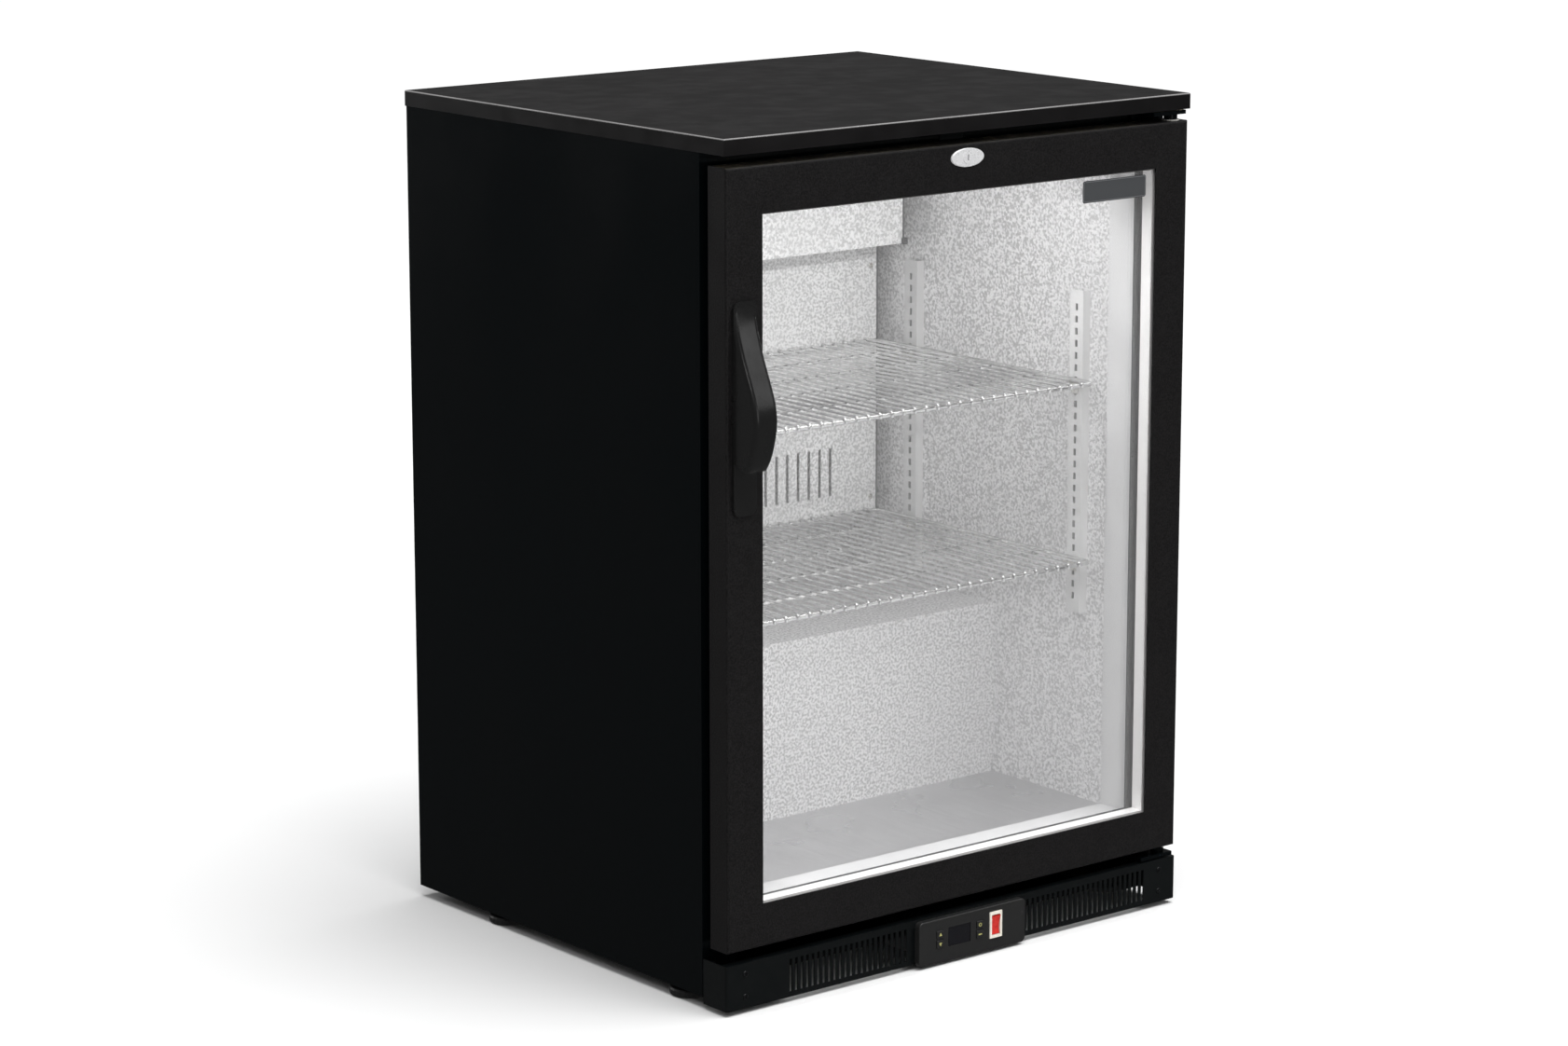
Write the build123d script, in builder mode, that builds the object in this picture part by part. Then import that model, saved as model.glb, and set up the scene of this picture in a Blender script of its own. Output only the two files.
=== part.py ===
from build123d import *
from math import cos, radians, sin
import os

# Undercounter refrigerator with one glazed door.
# Millimetres, +Z up. The origin is on the floor, under the centre of the whole outline, and the
# door faces -Y. Depths are counted backwards from the front plane of the worktop and door.

os.makedirs("parts", exist_ok=True)

# ---- overall sizes
WIDTH = 600
DEPTH = 520
HEIGHT = 850
HANDLE_REACH = 36

# ---- cabinet walls
TOP_THICK = 16
TOP_SHEET = 1.2
TOP_OVERHANG = 1
SHEET = 1.0
LINER = 0.8
WALL = 42
FOOT_GAP = 12
FLOOR_RISE = 99
STEP_RISE = 187
STEP_DEPTH = 275
BREAKER_DEPTH = 35
BREAKER_THICK = 2.0
FLANGE_REACH = 20

# ---- door
DOOR_THICK = 27
DOOR_INSET = 2.5
DOOR_TOP_GAP = 11.5
DOOR_FOOT_GAP = 12.5
STILE = 43.5
TOP_RAIL = 45.5
BOTTOM_RAIL = 43
DOOR_ROUND = 2.5
GASKET_GAP = 11
GASKET_WIDTH = 16
GLASS = 4
GLASS_SETBACK = 1.5
GLASS_LIP = 8
PANE_GAP = 14
SPACER_WIDTH = 6
SPACER_SHOW = 1.5
GASKET_EDGE = 4
GASKET_FOOT_EDGE = 7.5
LINER_RING_FOOT = 30
LOCK_DROP = 13.5
LOCK_RADIUS = 8
HINGE_INSET = 15
HINGE_DEPTH = 13
PIN_RADIUS = 4
BUSH_RADIUS = 6
BUSH_LENGTH = 28
RING_CLEARANCE = 1
RUNNING_CLEARANCE = 0.05

# ---- kick grille and controls
GRILLE_BOTTOM = 5.5
GRILLE_HEIGHT = 45.5
GRILLE_SHEET = 1.5
GRILLE_SIDE = 36
SLOT_PITCH = 7
SLOT_WIDTH = 3.5
BAND_LEFT_MARGIN = 77.4
BAND_RIGHT_MARGIN = 43.4
BAND_CONTROL_GAPS = (10, 6)
GRILLE_SCREW_MARGIN = 23.4
SCREW_RADIUS = 1.8
SCREW_HEAD_RADIUS = 3.2
CONTROL_LEFT = -60
CONTROL_WIDTH = 142
CONTROL_BOTTOM = 3
CONTROL_HEIGHT = 46
CONTROL_PROUD = 7
CONTROL_PLATE = 3
BUTTON_GAP = 0.3
CONTROL_MARGIN = 3
DISPLAY_SIZE = (30, 20)
DISPLAY_LEFT_GAP = 38
DISPLAY_DROP = 11
BUTTON_SIZE = (9, 8)
BUTTON_COLUMNS = (27, 80)
BUTTON_ROWS = (16, 26)
ROCKER_WIDTH = 16
ROCKER_COLUMN = 101
ROCKER_EDGE = 6
ROCKER_WALL = 2.3
ROCKER_RIM = 3.1
ROCKER_STUB = 1.5

# ---- shelves
SHELF_SIDE_GAP = 15
SHELF_FRONT = 80
SHELF_REAR_GAP = 4
LOWER_SHELF_RISE = 74
UPPER_SHELF_DROP = 113
FRAME_ROD = 5
CROSS_ROD = 4
WIRE = 2.8
WIRE_PITCH = 15
WELD_SINK = 0.4
SHELF_REST_GAP = 0.3
PILASTER_WIDTH = 20
PILASTER_PROUD = 10
PILASTER_FRONT = 101
PILASTER_REAR_GAP = 96
PILASTER_RISE = 15
PILASTER_DROP = 20
PILASTER_SLOT = (4, 7)
PILASTER_SLOT_PITCH = 12.7
CLIP_WIDTH = 10
CLIP_THICK = 2

# ---- evaporator space
PANEL_SPACE = 53
PANEL_SIDE_GAP = 13
PANEL_RISE = 69
BOX_SPACE = 108
BOX_SIDE_GAP = 23.5
BOX_HEIGHT = 131
COVER_SHEET = 1.2
EVAP_SIDE_GAP = 40
EVAP_FIN_PITCH = 20
EVAP_TUBE_PITCH = 38
EVAP_FAN_RADIUS = 42
EVAP_FAN_SETBACK = 14
DRAIN_BORE = 7
LAMP_SIDE_GAP = 58
LAMP_FRONT = 82
LAMP_SIZE = (20, 11)

# ---- machine space
PAN_SHEET = 1.5
PAN_HEIGHT = 28
PAN_FRONT = 62
POT_RADIUS = 68
POT_SIDE_GAP = 42
POT_BACK_GAP = 47
TRAY_DROP = 56.5
TRAY_HEIGHT = 30
COIL_SIDE_GAP = 60
COIL_FRONT_GAP = 13
COIL_THICK = 40
COIL_DROP = 14
COND_FIN_PITCH = 7
COND_TUBE_PITCH = 32
FAN_RING = 6
VENT_PITCH = (84, 14)
VENT_SLOT = (66, 5)
GLAND_SIDE_GAP = 64
GLAND_Z = 60
GLAND_BORE = 8
FOOT_INSET = 21
FOOT_RADIUS = 20
FOOT_HEIGHT = 10
STEM_RADIUS = 5
FOOT_FRONT_DEPTH = 84
FOOT_REAR_GAP = 132

# ---- handle and lock
HANDLE_EDGE = 6.5
HANDLE_WIDTH = 28
HANDLE_LENGTH = 205
HANDLE_DROP = 125.5
HANDLE_PLATE = 3
HANDLE_WEB = 3.5
CYLINDER_RADIUS = 6
CAM_REACH = 22
CLOSER_LENGTH = 320
CLOSER_RADIUS = 2.5

# ---- planes worked out from the sizes above
front_y = -(DEPTH - HANDLE_REACH) / 2
back_y = front_y + DEPTH
case_half = WIDTH / 2 - TOP_OVERHANG
case_top = HEIGHT - TOP_THICK
case_front = front_y + DOOR_THICK + GASKET_GAP
case_back = back_y - TOP_OVERHANG
liner_half = WIDTH / 2 - WALL
liner_out = liner_half + LINER
floor_z = FLOOR_RISE
ceiling_z = case_top - WALL
underfloor_z = floor_z - WALL
liner_back_y = back_y - WALL
step_z = floor_z + STEP_RISE
step_y = back_y - STEP_DEPTH
machine_y = step_y + WALL
machine_z = step_z - WALL
door_half = WIDTH / 2 - DOOR_INSET
door_top = case_top - DOOR_TOP_GAP
grille_top = GRILLE_BOTTOM + GRILLE_HEIGHT
door_bottom = grille_top + DOOR_FOOT_GAP
door_back = front_y + DOOR_THICK
sight_half = door_half - STILE
sight_top = door_top - TOP_RAIL
sight_bottom = door_bottom + BOTTOM_RAIL
lock_z = door_top - LOCK_DROP
hinge_x = WIDTH / 2 - HINGE_INSET
hinge_y = front_y + HINGE_DEPTH
panel_y = liner_back_y - PANEL_SPACE
panel_half = liner_half - PANEL_SIDE_GAP
panel_bottom = step_z + PANEL_RISE
box_front_y = liner_back_y - BOX_SPACE
box_half = liner_half - BOX_SIDE_GAP
box_bottom = ceiling_z - BOX_HEIGHT
shelf_rear_y = panel_y - SHELF_REAR_GAP
shelf_heights = (step_z + LOWER_SHELF_RISE, box_bottom - UPPER_SHELF_DROP)
pilaster_low, pilaster_high = step_z + PILASTER_RISE, box_bottom - PILASTER_DROP
pan_half = case_half - SHEET
pan_top = PAN_HEIGHT + PAN_SHEET
pot_x = -pan_half + POT_SIDE_GAP + POT_RADIUS
pot_y = back_y - POT_BACK_GAP - POT_RADIUS
BOTH_SIDES = (-1, 1)


def y_at(depth):
    """The y of a depth counted backwards from the front plane."""
    return front_y + depth


def slab(x, y, z, mode=Mode.ADD):
    """A box between three pairs of coordinates, added to the open part."""
    with Locations(((x[0] + x[1]) / 2, (y[0] + y[1]) / 2, (z[0] + z[1]) / 2)):
        Box(x[1] - x[0], y[1] - y[0], z[1] - z[0], mode=mode)


def rod(start, end, radius, mode=Mode.ADD):
    """A round bar from one point to another, added to or cut from the open part."""
    direction = Vector(*end) - Vector(*start)
    with Locations(Plane(origin=start, z_dir=direction)):
        Cylinder(radius, direction.length, align=(Align.CENTER, Align.CENTER, Align.MIN), mode=mode)


def ring(half, bottom, top, inner_half, inner_bottom, inner_top, y):
    """A rectangular ring that faces the door: the outer outline less the inner one, between two y."""
    slab((-half, half), y, (bottom, top))
    slab((-inner_half, inner_half), y, (inner_bottom, inner_top), mode=Mode.SUBTRACT)


def write(part, name):
    """Label a finished piece and write it as a STEP file of the same name."""
    part.label = name
    export_step(part, f"parts/{name}.step")


# ======== cabinet shell ========

# Worktop: a folded steel pan, open underneath.
with BuildPart() as worktop:
    slab((-WIDTH / 2, WIDTH / 2), (front_y, back_y), (case_top, HEIGHT))
    top_edges = worktop.edges().group_by(Axis.Z)[-1]
    fillet(top_edges, radius=TOP_SHEET)
    slab(
        (-WIDTH / 2 + TOP_SHEET, WIDTH / 2 - TOP_SHEET),
        (front_y + TOP_SHEET, back_y - TOP_SHEET),
        (case_top, HEIGHT - TOP_SHEET),
        mode=Mode.SUBTRACT,
    )
write(worktop.part, "worktop")

# Side panels: one bent sheet each, with a front flange that the door seals on and a rear flange.
for side, name in zip(BOTH_SIDES, ("side_panel_left", "side_panel_right")):
    skin = sorted((side * case_half, side * (case_half - SHEET)))
    front_flange = sorted((side * case_half, side * liner_out))
    rear_flange = sorted((side * case_half, side * (case_half - FLANGE_REACH)))
    with BuildPart() as side_panel:
        slab(skin, (case_front, case_back), (FOOT_GAP, case_top))
        slab(front_flange, (case_front, case_front + SHEET), (FOOT_GAP, case_top))
        slab(rear_flange, (case_back - SHEET, case_back), (FOOT_GAP, case_top))
    write(side_panel.part, name)

# Top deck: the sheet under the worktop, with a front flange down to the opening.
with BuildPart() as top_deck:
    slab((-liner_out, liner_out), (case_front, case_back - SHEET), (case_top - LINER, case_top))
    slab((-liner_out, liner_out), (case_front, case_front + SHEET), (ceiling_z + LINER, case_top))
write(top_deck.part, "top_deck")

# Underfloor panel: one folded sheet under the floor, up the front of the machine space and over it.
with BuildPart() as underfloor_panel:
    sheet_low = (underfloor_z - LINER, underfloor_z)
    slab((-liner_out, liner_out), (case_front, machine_y + LINER), sheet_low)
    slab((-liner_out, liner_out), (case_front, case_front + SHEET), (sheet_low[0], floor_z - LINER))
    slab((-liner_out, liner_out), (machine_y, machine_y + LINER), (sheet_low[0], machine_z))
    slab((-liner_out, liner_out), (machine_y, case_back - SHEET), (machine_z - LINER, machine_z))
    drain_x = pot_x
    drain_y = panel_y + PANEL_SPACE / 2
    rod((drain_x, drain_y, machine_z - WALL), (drain_x, drain_y, machine_z + 1), DRAIN_BORE, Mode.SUBTRACT)
write(underfloor_panel.part, "underfloor_panel")

# Back panel: a galvanised sheet between the rear flanges.
back_half = case_half - FLANGE_REACH
with BuildPart() as back_panel:
    slab((-back_half, back_half), (case_back - LINER, case_back), (machine_z, case_top))
write(back_panel.part, "back_panel")

# Foam: the blocks that fill the walls, floor, step, ceiling and worktop.
foam_back_y = case_back - SHEET
foam_front_y = case_front + SHEET
foam_spans = {
    "top": ((-liner_out, liner_out), (foam_front_y, foam_back_y), (ceiling_z + LINER, case_top - LINER)),
    "back": ((-liner_out, liner_out), (liner_back_y + LINER, foam_back_y), (machine_z, ceiling_z)),
    "step": ((-liner_out, liner_out), (step_y + LINER, liner_back_y), (machine_z, step_z - LINER)),
    "riser": ((-liner_out, liner_out), (step_y + LINER, machine_y), (floor_z, machine_z - LINER)),
    "floor": ((-liner_out, liner_out), (foam_front_y, machine_y), (underfloor_z, floor_z - LINER)),
    "worktop": (
        (-WIDTH / 2 + TOP_SHEET, WIDTH / 2 - TOP_SHEET),
        (front_y + TOP_SHEET, back_y - TOP_SHEET),
        (case_top, HEIGHT - TOP_SHEET),
    ),
}
for side, name in zip(BOTH_SIDES, ("left", "right")):
    thickness = sorted((side * liner_out, side * (case_half - SHEET)))
    foam_spans[name] = (thickness, (foam_front_y, foam_back_y), (machine_z, case_top))
    foam_spans[f"low {name}"] = (thickness, (foam_front_y, machine_y), (underfloor_z, machine_z))
foam_blocks = []
for x, y, z in foam_spans.values():
    with BuildPart() as block:
        slab(x, y, z)
        rod((drain_x, drain_y, machine_z), (drain_x, drain_y, step_z), DRAIN_BORE, Mode.SUBTRACT)
    foam_blocks.append(block.part)
write(Compound(children=foam_blocks), "insulation")

# ======== liner ========

# Side and ceiling liners: flat embossed aluminium sheets that start behind the breaker strips.
liner_front_y = case_front + BREAKER_DEPTH
liner_sheets = []
for side in BOTH_SIDES:
    sheet_x = sorted((side * liner_half, side * liner_out))
    with BuildPart() as wall_sheet:
        slab(sheet_x, (liner_front_y, liner_back_y), (floor_z, ceiling_z))
        slab(sheet_x, (step_y + LINER, liner_back_y), (floor_z - 1, step_z - LINER), mode=Mode.SUBTRACT)
    liner_sheets.append(wall_sheet.part)
with BuildPart() as ceiling_sheet:
    slab((-liner_out, liner_out), (liner_front_y, foam_back_y - WALL), (ceiling_z, ceiling_z + LINER))
liner_sheets.append(ceiling_sheet.part)
write(Compound(children=liner_sheets), "liner_sides_and_top")

with BuildPart() as liner_back:
    slab((-liner_half, liner_half), (liner_back_y, liner_back_y + LINER), (step_z, ceiling_z))
write(liner_back.part, "liner_back")

with BuildPart() as liner_floor:
    slab((-liner_half, liner_half), (liner_front_y, step_y), (floor_z - LINER, floor_z))
write(liner_floor.part, "liner_floor")

# Step liner: one bent sheet up the front of the step and over it.
with BuildPart() as liner_step:
    slab((-liner_half, liner_half), (step_y, step_y + LINER), (floor_z - LINER, step_z))
    slab((-liner_half, liner_half), (step_y, liner_back_y), (step_z - LINER, step_z))
    rod((drain_x, drain_y, machine_z), (drain_x, drain_y, step_z + 1), DRAIN_BORE, Mode.SUBTRACT)
write(liner_step.part, "liner_step")

# Breaker strips: plain plastic strips round the mouth of the cabinet, butted at the corners.
mouth_y = (case_front, liner_front_y)
breaker_half = liner_out - BREAKER_THICK
breaker_spans = [
    ((-liner_out, liner_out), (ceiling_z + LINER - BREAKER_THICK, ceiling_z + LINER)),
    ((-liner_out, liner_out), (floor_z - LINER, floor_z - LINER + BREAKER_THICK)),
]
breaker_low = floor_z - LINER + BREAKER_THICK
breaker_high = ceiling_z + LINER - BREAKER_THICK
for side in BOTH_SIDES:
    breaker_spans.append((sorted((side * breaker_half, side * liner_out)), (breaker_low, breaker_high)))
breaker_strips = []
for x, z in breaker_spans:
    with BuildPart() as strip:
        slab(x, mouth_y, z)
    breaker_strips.append(strip.part)
write(Compound(children=breaker_strips), "breaker_strips")

# ======== shelf supports and shelves ========

# Pilasters: channels with a column of slots, riveted to the side liners.
pilaster_inner = liner_half - PILASTER_PROUD
pilaster_length = pilaster_high - pilaster_low
slot_count = int(pilaster_length / PILASTER_SLOT_PITCH) - 1
pilaster_middle_z = (pilaster_low + pilaster_high) / 2
pilaster_front_ys = (
    y_at(PILASTER_FRONT),
    liner_back_y - PILASTER_REAR_GAP - PILASTER_WIDTH,
)
pilasters = []
for side in BOTH_SIDES:
    for near_y in pilaster_front_ys:
        middle_y = near_y + PILASTER_WIDTH / 2
        span_y = (near_y, near_y + PILASTER_WIDTH)
        span_z = (pilaster_low, pilaster_high)
        web = sorted((side * pilaster_inner, side * (pilaster_inner + COVER_SHEET)))
        cheek = sorted((side * pilaster_inner, side * liner_half))
        with BuildPart() as pilaster:
            slab(web, span_y, span_z)
            for edge_y in (span_y[0], span_y[1] - COVER_SHEET):
                slab(cheek, (edge_y, edge_y + COVER_SHEET), span_z)
            with BuildSketch(Plane.YZ.offset(web[0])) as slots:
                with Locations((middle_y, pilaster_middle_z)):
                    with GridLocations(1, PILASTER_SLOT_PITCH, 1, slot_count):
                        Rectangle(*PILASTER_SLOT)
            extrude(amount=COVER_SHEET, mode=Mode.SUBTRACT)
        pilasters.append(pilaster.part)
write(Compound(children=pilasters), "pilasters")

# Shelf clips: a tongue on each pilaster, just under the side rod of a shelf.
shelf_half = liner_half - SHELF_SIDE_GAP
clips = []
for shelf_z in shelf_heights:
    clip_top = shelf_z - FRAME_ROD / 2 - SHELF_REST_GAP
    for side in BOTH_SIDES:
        for near_y in pilaster_front_ys:
            middle_y = near_y + PILASTER_WIDTH / 2
            clip_y = (middle_y - CLIP_WIDTH / 2, middle_y + CLIP_WIDTH / 2)
            with BuildPart() as clip:
                slab(
                    sorted((side * (shelf_half - FRAME_ROD), side * pilaster_inner)),
                    clip_y,
                    (clip_top - CLIP_THICK, clip_top),
                )
                slab(
                    sorted((side * (pilaster_inner - 1.5), side * pilaster_inner)),
                    clip_y,
                    (clip_top - 6 * CLIP_THICK, clip_top),
                )
            clips.append(clip.part)
write(Compound(children=clips), "shelf_clips")

# Shelves: welded wire, with a rod frame, cross rods and close wires that run front to back.
shelf_front_y = y_at(SHELF_FRONT)
shelf_span = shelf_rear_y - shelf_front_y
cross_count = 4
wire_count = int((2 * shelf_half - 2 * FRAME_ROD) / WIRE_PITCH / 2) * 2 - 1
wire_rise = FRAME_ROD / 2 + WIRE / 2 - WELD_SINK
cross_rise = wire_rise - WIRE / 2 - CROSS_ROD / 2 + WELD_SINK
for name, shelf_z in zip(("lower_shelf", "upper_shelf"), shelf_heights):
    with BuildPart() as shelf:
        for end_y in (shelf_front_y, shelf_rear_y):
            rod((-shelf_half, end_y, shelf_z), (shelf_half, end_y, shelf_z), FRAME_ROD / 2)
        for side in BOTH_SIDES:
            rail_x = side * shelf_half
            rod((rail_x, shelf_front_y, shelf_z), (rail_x, shelf_rear_y, shelf_z), FRAME_ROD / 2)
            for end_y in (shelf_front_y, shelf_rear_y):
                with Locations((rail_x, end_y, shelf_z)):
                    Sphere(FRAME_ROD / 2)
        for index in range(cross_count):
            cross_y = shelf_front_y + shelf_span * (index + 1) / (cross_count + 1)
            cross_z = shelf_z + cross_rise
            rod((-shelf_half, cross_y, cross_z), (shelf_half, cross_y, cross_z), CROSS_ROD / 2)
        wire_z = shelf_z + wire_rise
        first_wire_x = -WIRE_PITCH * (wire_count - 1) / 2
        for index in range(wire_count):
            wire_x = first_wire_x + WIRE_PITCH * index
            rod((wire_x, shelf_front_y - 1, wire_z), (wire_x, shelf_rear_y + 1, wire_z), WIRE / 2)
    write(shelf.part, name)

# ======== evaporator space ========

# Fan box: a folded cover in the top rear corner, with a stamped fan guard in its front.
fan_z = (box_bottom + ceiling_z) / 2
with BuildPart() as fan_box:
    slab((-box_half, box_half), (box_front_y, liner_back_y), (box_bottom, ceiling_z))
    slab(
        (-box_half + COVER_SHEET, box_half - COVER_SHEET),
        (box_front_y + COVER_SHEET, liner_back_y),
        (box_bottom + COVER_SHEET, ceiling_z),
        mode=Mode.SUBTRACT,
    )
    # the rear of its underside is open to the evaporator behind the slotted panel
    slab(
        (-box_half + 20, box_half - 20),
        (panel_y + COVER_SHEET, liner_back_y),
        (box_bottom, box_bottom + COVER_SHEET),
        mode=Mode.SUBTRACT,
    )
    guard_plane = Plane(origin=(0, box_front_y, fan_z), x_dir=(1, 0, 0), z_dir=(0, 1, 0))
    with BuildSketch(guard_plane) as guard:
        for radius in range(16, EVAP_FAN_RADIUS, 8):
            with BuildSketch(mode=Mode.PRIVATE) as band:
                Circle(radius + 2.5)
                Circle(radius - 2.5, mode=Mode.SUBTRACT)
                for angle in (0, 60, 120):
                    Rectangle(2 * radius + 10, 5, rotation=angle + 30, mode=Mode.SUBTRACT)
            add(band.sketch)
    extrude(amount=COVER_SHEET, mode=Mode.SUBTRACT)
write(fan_box.part, "fan_box")

# Evaporator cover: a folded panel with a row of air slots near its lower edge.
cover_top = box_bottom
with BuildPart() as evaporator_cover:
    slab((-panel_half, panel_half), (panel_y, liner_back_y), (panel_bottom, cover_top))
    slab(
        (-panel_half + COVER_SHEET, panel_half - COVER_SHEET),
        (panel_y + COVER_SHEET, liner_back_y),
        (panel_bottom + COVER_SHEET, cover_top),
        mode=Mode.SUBTRACT,
    )
    air_plane = Plane(origin=(0, panel_y, panel_bottom + 54), x_dir=(1, 0, 0), z_dir=(0, 1, 0))
    with BuildSketch(air_plane) as air_slots:
        with GridLocations(15, 1, int((2 * panel_half - 130) / 15) + 1, 1):
            Rectangle(4, 53)
    extrude(amount=COVER_SHEET, mode=Mode.SUBTRACT)
    drain_ends = ((drain_x, drain_y, panel_bottom - 1), (drain_x, drain_y, panel_bottom + 3))
    rod(*drain_ends, DRAIN_BORE, Mode.SUBTRACT)
write(evaporator_cover.part, "evaporator_cover")

# Evaporator: a fin block on a serpentine tube, shown here as spaced fins on straight tubes.
evap_low, evap_high = panel_bottom + 95, box_bottom - 21
evap_y = (panel_y + liner_back_y) / 2
evap_half = panel_half - EVAP_SIDE_GAP
evap_fins = int((2 * evap_half - 30) / EVAP_FIN_PITCH) + 1
with BuildPart() as evaporator:
    with Locations((0, evap_y, (evap_low + evap_high) / 2)):
        with GridLocations(EVAP_FIN_PITCH, 1, evap_fins, 1):
            Box(1, 38, evap_high - evap_low)
    for row in range(int((evap_high - evap_low) / EVAP_TUBE_PITCH)):
        for offset in (-10, 10):
            tube_z = evap_low + EVAP_TUBE_PITCH * (row + 0.5)
            rod((-evap_half, evap_y + offset, tube_z), (evap_half, evap_y + offset, tube_z), 4)
write(evaporator.part, "evaporator")

# Drain pan: a moulded tray under the evaporator with its tube down to the evaporating tray.
tray_floor_z = machine_z - TRAY_DROP
with BuildPart() as drain_pan:
    pan_floor = panel_bottom + COVER_SHEET
    slab((-evap_half, evap_half), (panel_y + 3, liner_back_y - 1), (pan_floor, pan_floor + 22))
    slab(
        (-evap_half + 2, evap_half - 2),
        (panel_y + 5, liner_back_y - 3),
        (pan_floor + 2, pan_floor + 22),
        mode=Mode.SUBTRACT,
    )
    tube_end = (drain_x, drain_y, tray_floor_z + 8)
    rod(tube_end, (drain_x, drain_y, pan_floor + 1), DRAIN_BORE)
    rod(tube_end, (drain_x, drain_y, pan_floor + 2), DRAIN_BORE - 1.5, Mode.SUBTRACT)
write(drain_pan.part, "drain_pan")


def fan_wheel(centre_x, centre_y, centre_z, radius, hub_radius, width, bore, blades):
    """A moulded fan wheel on a shaft along Y: a bored hub with pitched blades."""
    blade_length = radius - hub_radius + 2
    with Locations(Plane(origin=(centre_x, centre_y, centre_z), x_dir=(1, 0, 0), z_dir=(0, 1, 0))):
        Cylinder(hub_radius, width)
        with PolarLocations(hub_radius - 2 + blade_length / 2, blades):
            Box(blade_length, 0.75 * radius, 1.6, rotation=(22, 0, 0))
    with Locations(Plane(origin=(centre_x, centre_y, centre_z), x_dir=(1, 0, 0), z_dir=(0, 1, 0))):
        Cylinder(radius, 3 * width, mode=Mode.INTERSECT)
        Cylinder(bore, 3 * width, mode=Mode.SUBTRACT)


evap_fan_y = box_front_y + EVAP_FAN_SETBACK
evap_shaft = 2.5
with BuildPart() as evaporator_fan:
    fan_wheel(0, evap_fan_y, fan_z, EVAP_FAN_RADIUS, 12, 8, evap_shaft + RUNNING_CLEARANCE, 5)
write(evaporator_fan.part, "evaporator_fan")

# Evaporator fan motor: a small motor on a strap that stands off the inside of the fan box.
strap_y = evap_fan_y + 16
strap_half = EVAP_FAN_RADIUS + 16
with BuildPart() as evaporator_fan_motor:
    rod((0, strap_y + 2, fan_z), (0, strap_y + 32, fan_z), 17)
    rod((0, evap_fan_y - 5, fan_z), (0, strap_y + 2, fan_z), evap_shaft)
    slab((-strap_half, strap_half), (strap_y, strap_y + 2), (fan_z - 8, fan_z + 8))
    for side in BOTH_SIDES:
        leg_x = sorted((side * (strap_half - 2), side * strap_half))
        slab(leg_x, (box_front_y + COVER_SHEET, strap_y + 2), (fan_z - 8, fan_z + 8))
write(evaporator_fan_motor.part, "evaporator_fan_motor")

# Lamp: a slim strip under the ceiling, just behind the breaker strip.
with BuildPart() as led_lamp:
    slab(
        (-liner_half + LAMP_SIDE_GAP, liner_half - LAMP_SIDE_GAP),
        (y_at(LAMP_FRONT), y_at(LAMP_FRONT) + LAMP_SIZE[0]),
        (ceiling_z - LAMP_SIZE[1], ceiling_z),
    )
    fillet(led_lamp.edges().filter_by(Axis.X).group_by(Axis.Z)[0], radius=4)
write(led_lamp.part, "led_lamp")

# ======== base and machine space ========

foot_x = WIDTH / 2 - FOOT_INSET
foot_ys = (y_at(FOOT_FRONT_DEPTH), back_y - FOOT_REAR_GAP)
foot_spots = {
    "front_left": (-foot_x, foot_ys[0]),
    "front_right": (foot_x, foot_ys[0]),
    "rear_left": (-foot_x, foot_ys[1]),
    "rear_right": (foot_x, foot_ys[1]),
}

# Base pan: a folded tray turned down, with a welded nut over each foot.
with BuildPart() as base_pan:
    slab((-pan_half, pan_half), (y_at(PAN_FRONT), case_back - SHEET), (FOOT_GAP, pan_top))
    slab(
        (-pan_half + PAN_SHEET, pan_half - PAN_SHEET),
        (y_at(PAN_FRONT) + PAN_SHEET, case_back - SHEET - PAN_SHEET),
        (FOOT_GAP, PAN_HEIGHT),
        mode=Mode.SUBTRACT,
    )
    for x, y in foot_spots.values():
        rod((x, y, pan_top), (x, y, pan_top + 8), 9)
        rod((x, y, FOOT_GAP), (x, y, pan_top + 9), STEM_RADIUS + RUNNING_CLEARANCE, Mode.SUBTRACT)
write(base_pan.part, "base_pan")

# Levelling feet: a round moulded pad on a threaded stem.
for name, (x, y) in foot_spots.items():
    with BuildPart() as foot:
        rod((x, y, 0), (x, y, FOOT_HEIGHT), FOOT_RADIUS)
        fillet(foot.edges().filter_by(GeomType.CIRCLE), radius=2.5)
        rod((x, y, FOOT_HEIGHT), (x, y, pan_top + 7), STEM_RADIUS)
    write(foot.part, f"foot_{name}")

# Compressor: a welded steel pot on a plate with four grommets, with its terminal box at one side.
pot_low = pan_top + 12
pot_top = tray_floor_z - 1.5
with BuildPart() as compressor:
    rod((pot_x, pot_y, pot_low), (pot_x, pot_y, pot_top), POT_RADIUS)
    fillet(compressor.edges().filter_by(GeomType.CIRCLE), radius=22)
    middle = (pot_low + pot_top) / 2
    rod((pot_x, pot_y, middle - 2), (pot_x, pot_y, middle + 2), POT_RADIUS + 3)
    slab(
        (pot_x - POT_RADIUS - 17, pot_x + POT_RADIUS + 17),
        (pot_y - 50, pot_y + 50),
        (pan_top + 10, pan_top + 13),
    )
    for corner_x in (pot_x - POT_RADIUS - 7, pot_x + POT_RADIUS + 7):
        for corner_y in (pot_y - 40, pot_y + 40):
            rod((corner_x, corner_y, pan_top), (corner_x, corner_y, pan_top + 16), 9)
    terminal_x = (pot_x - POT_RADIUS - 32, pot_x - POT_RADIUS + 8)
    slab(terminal_x, (pot_y - 22, pot_y + 22), (middle - 19, middle + 26))
write(compressor.part, "compressor")

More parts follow.
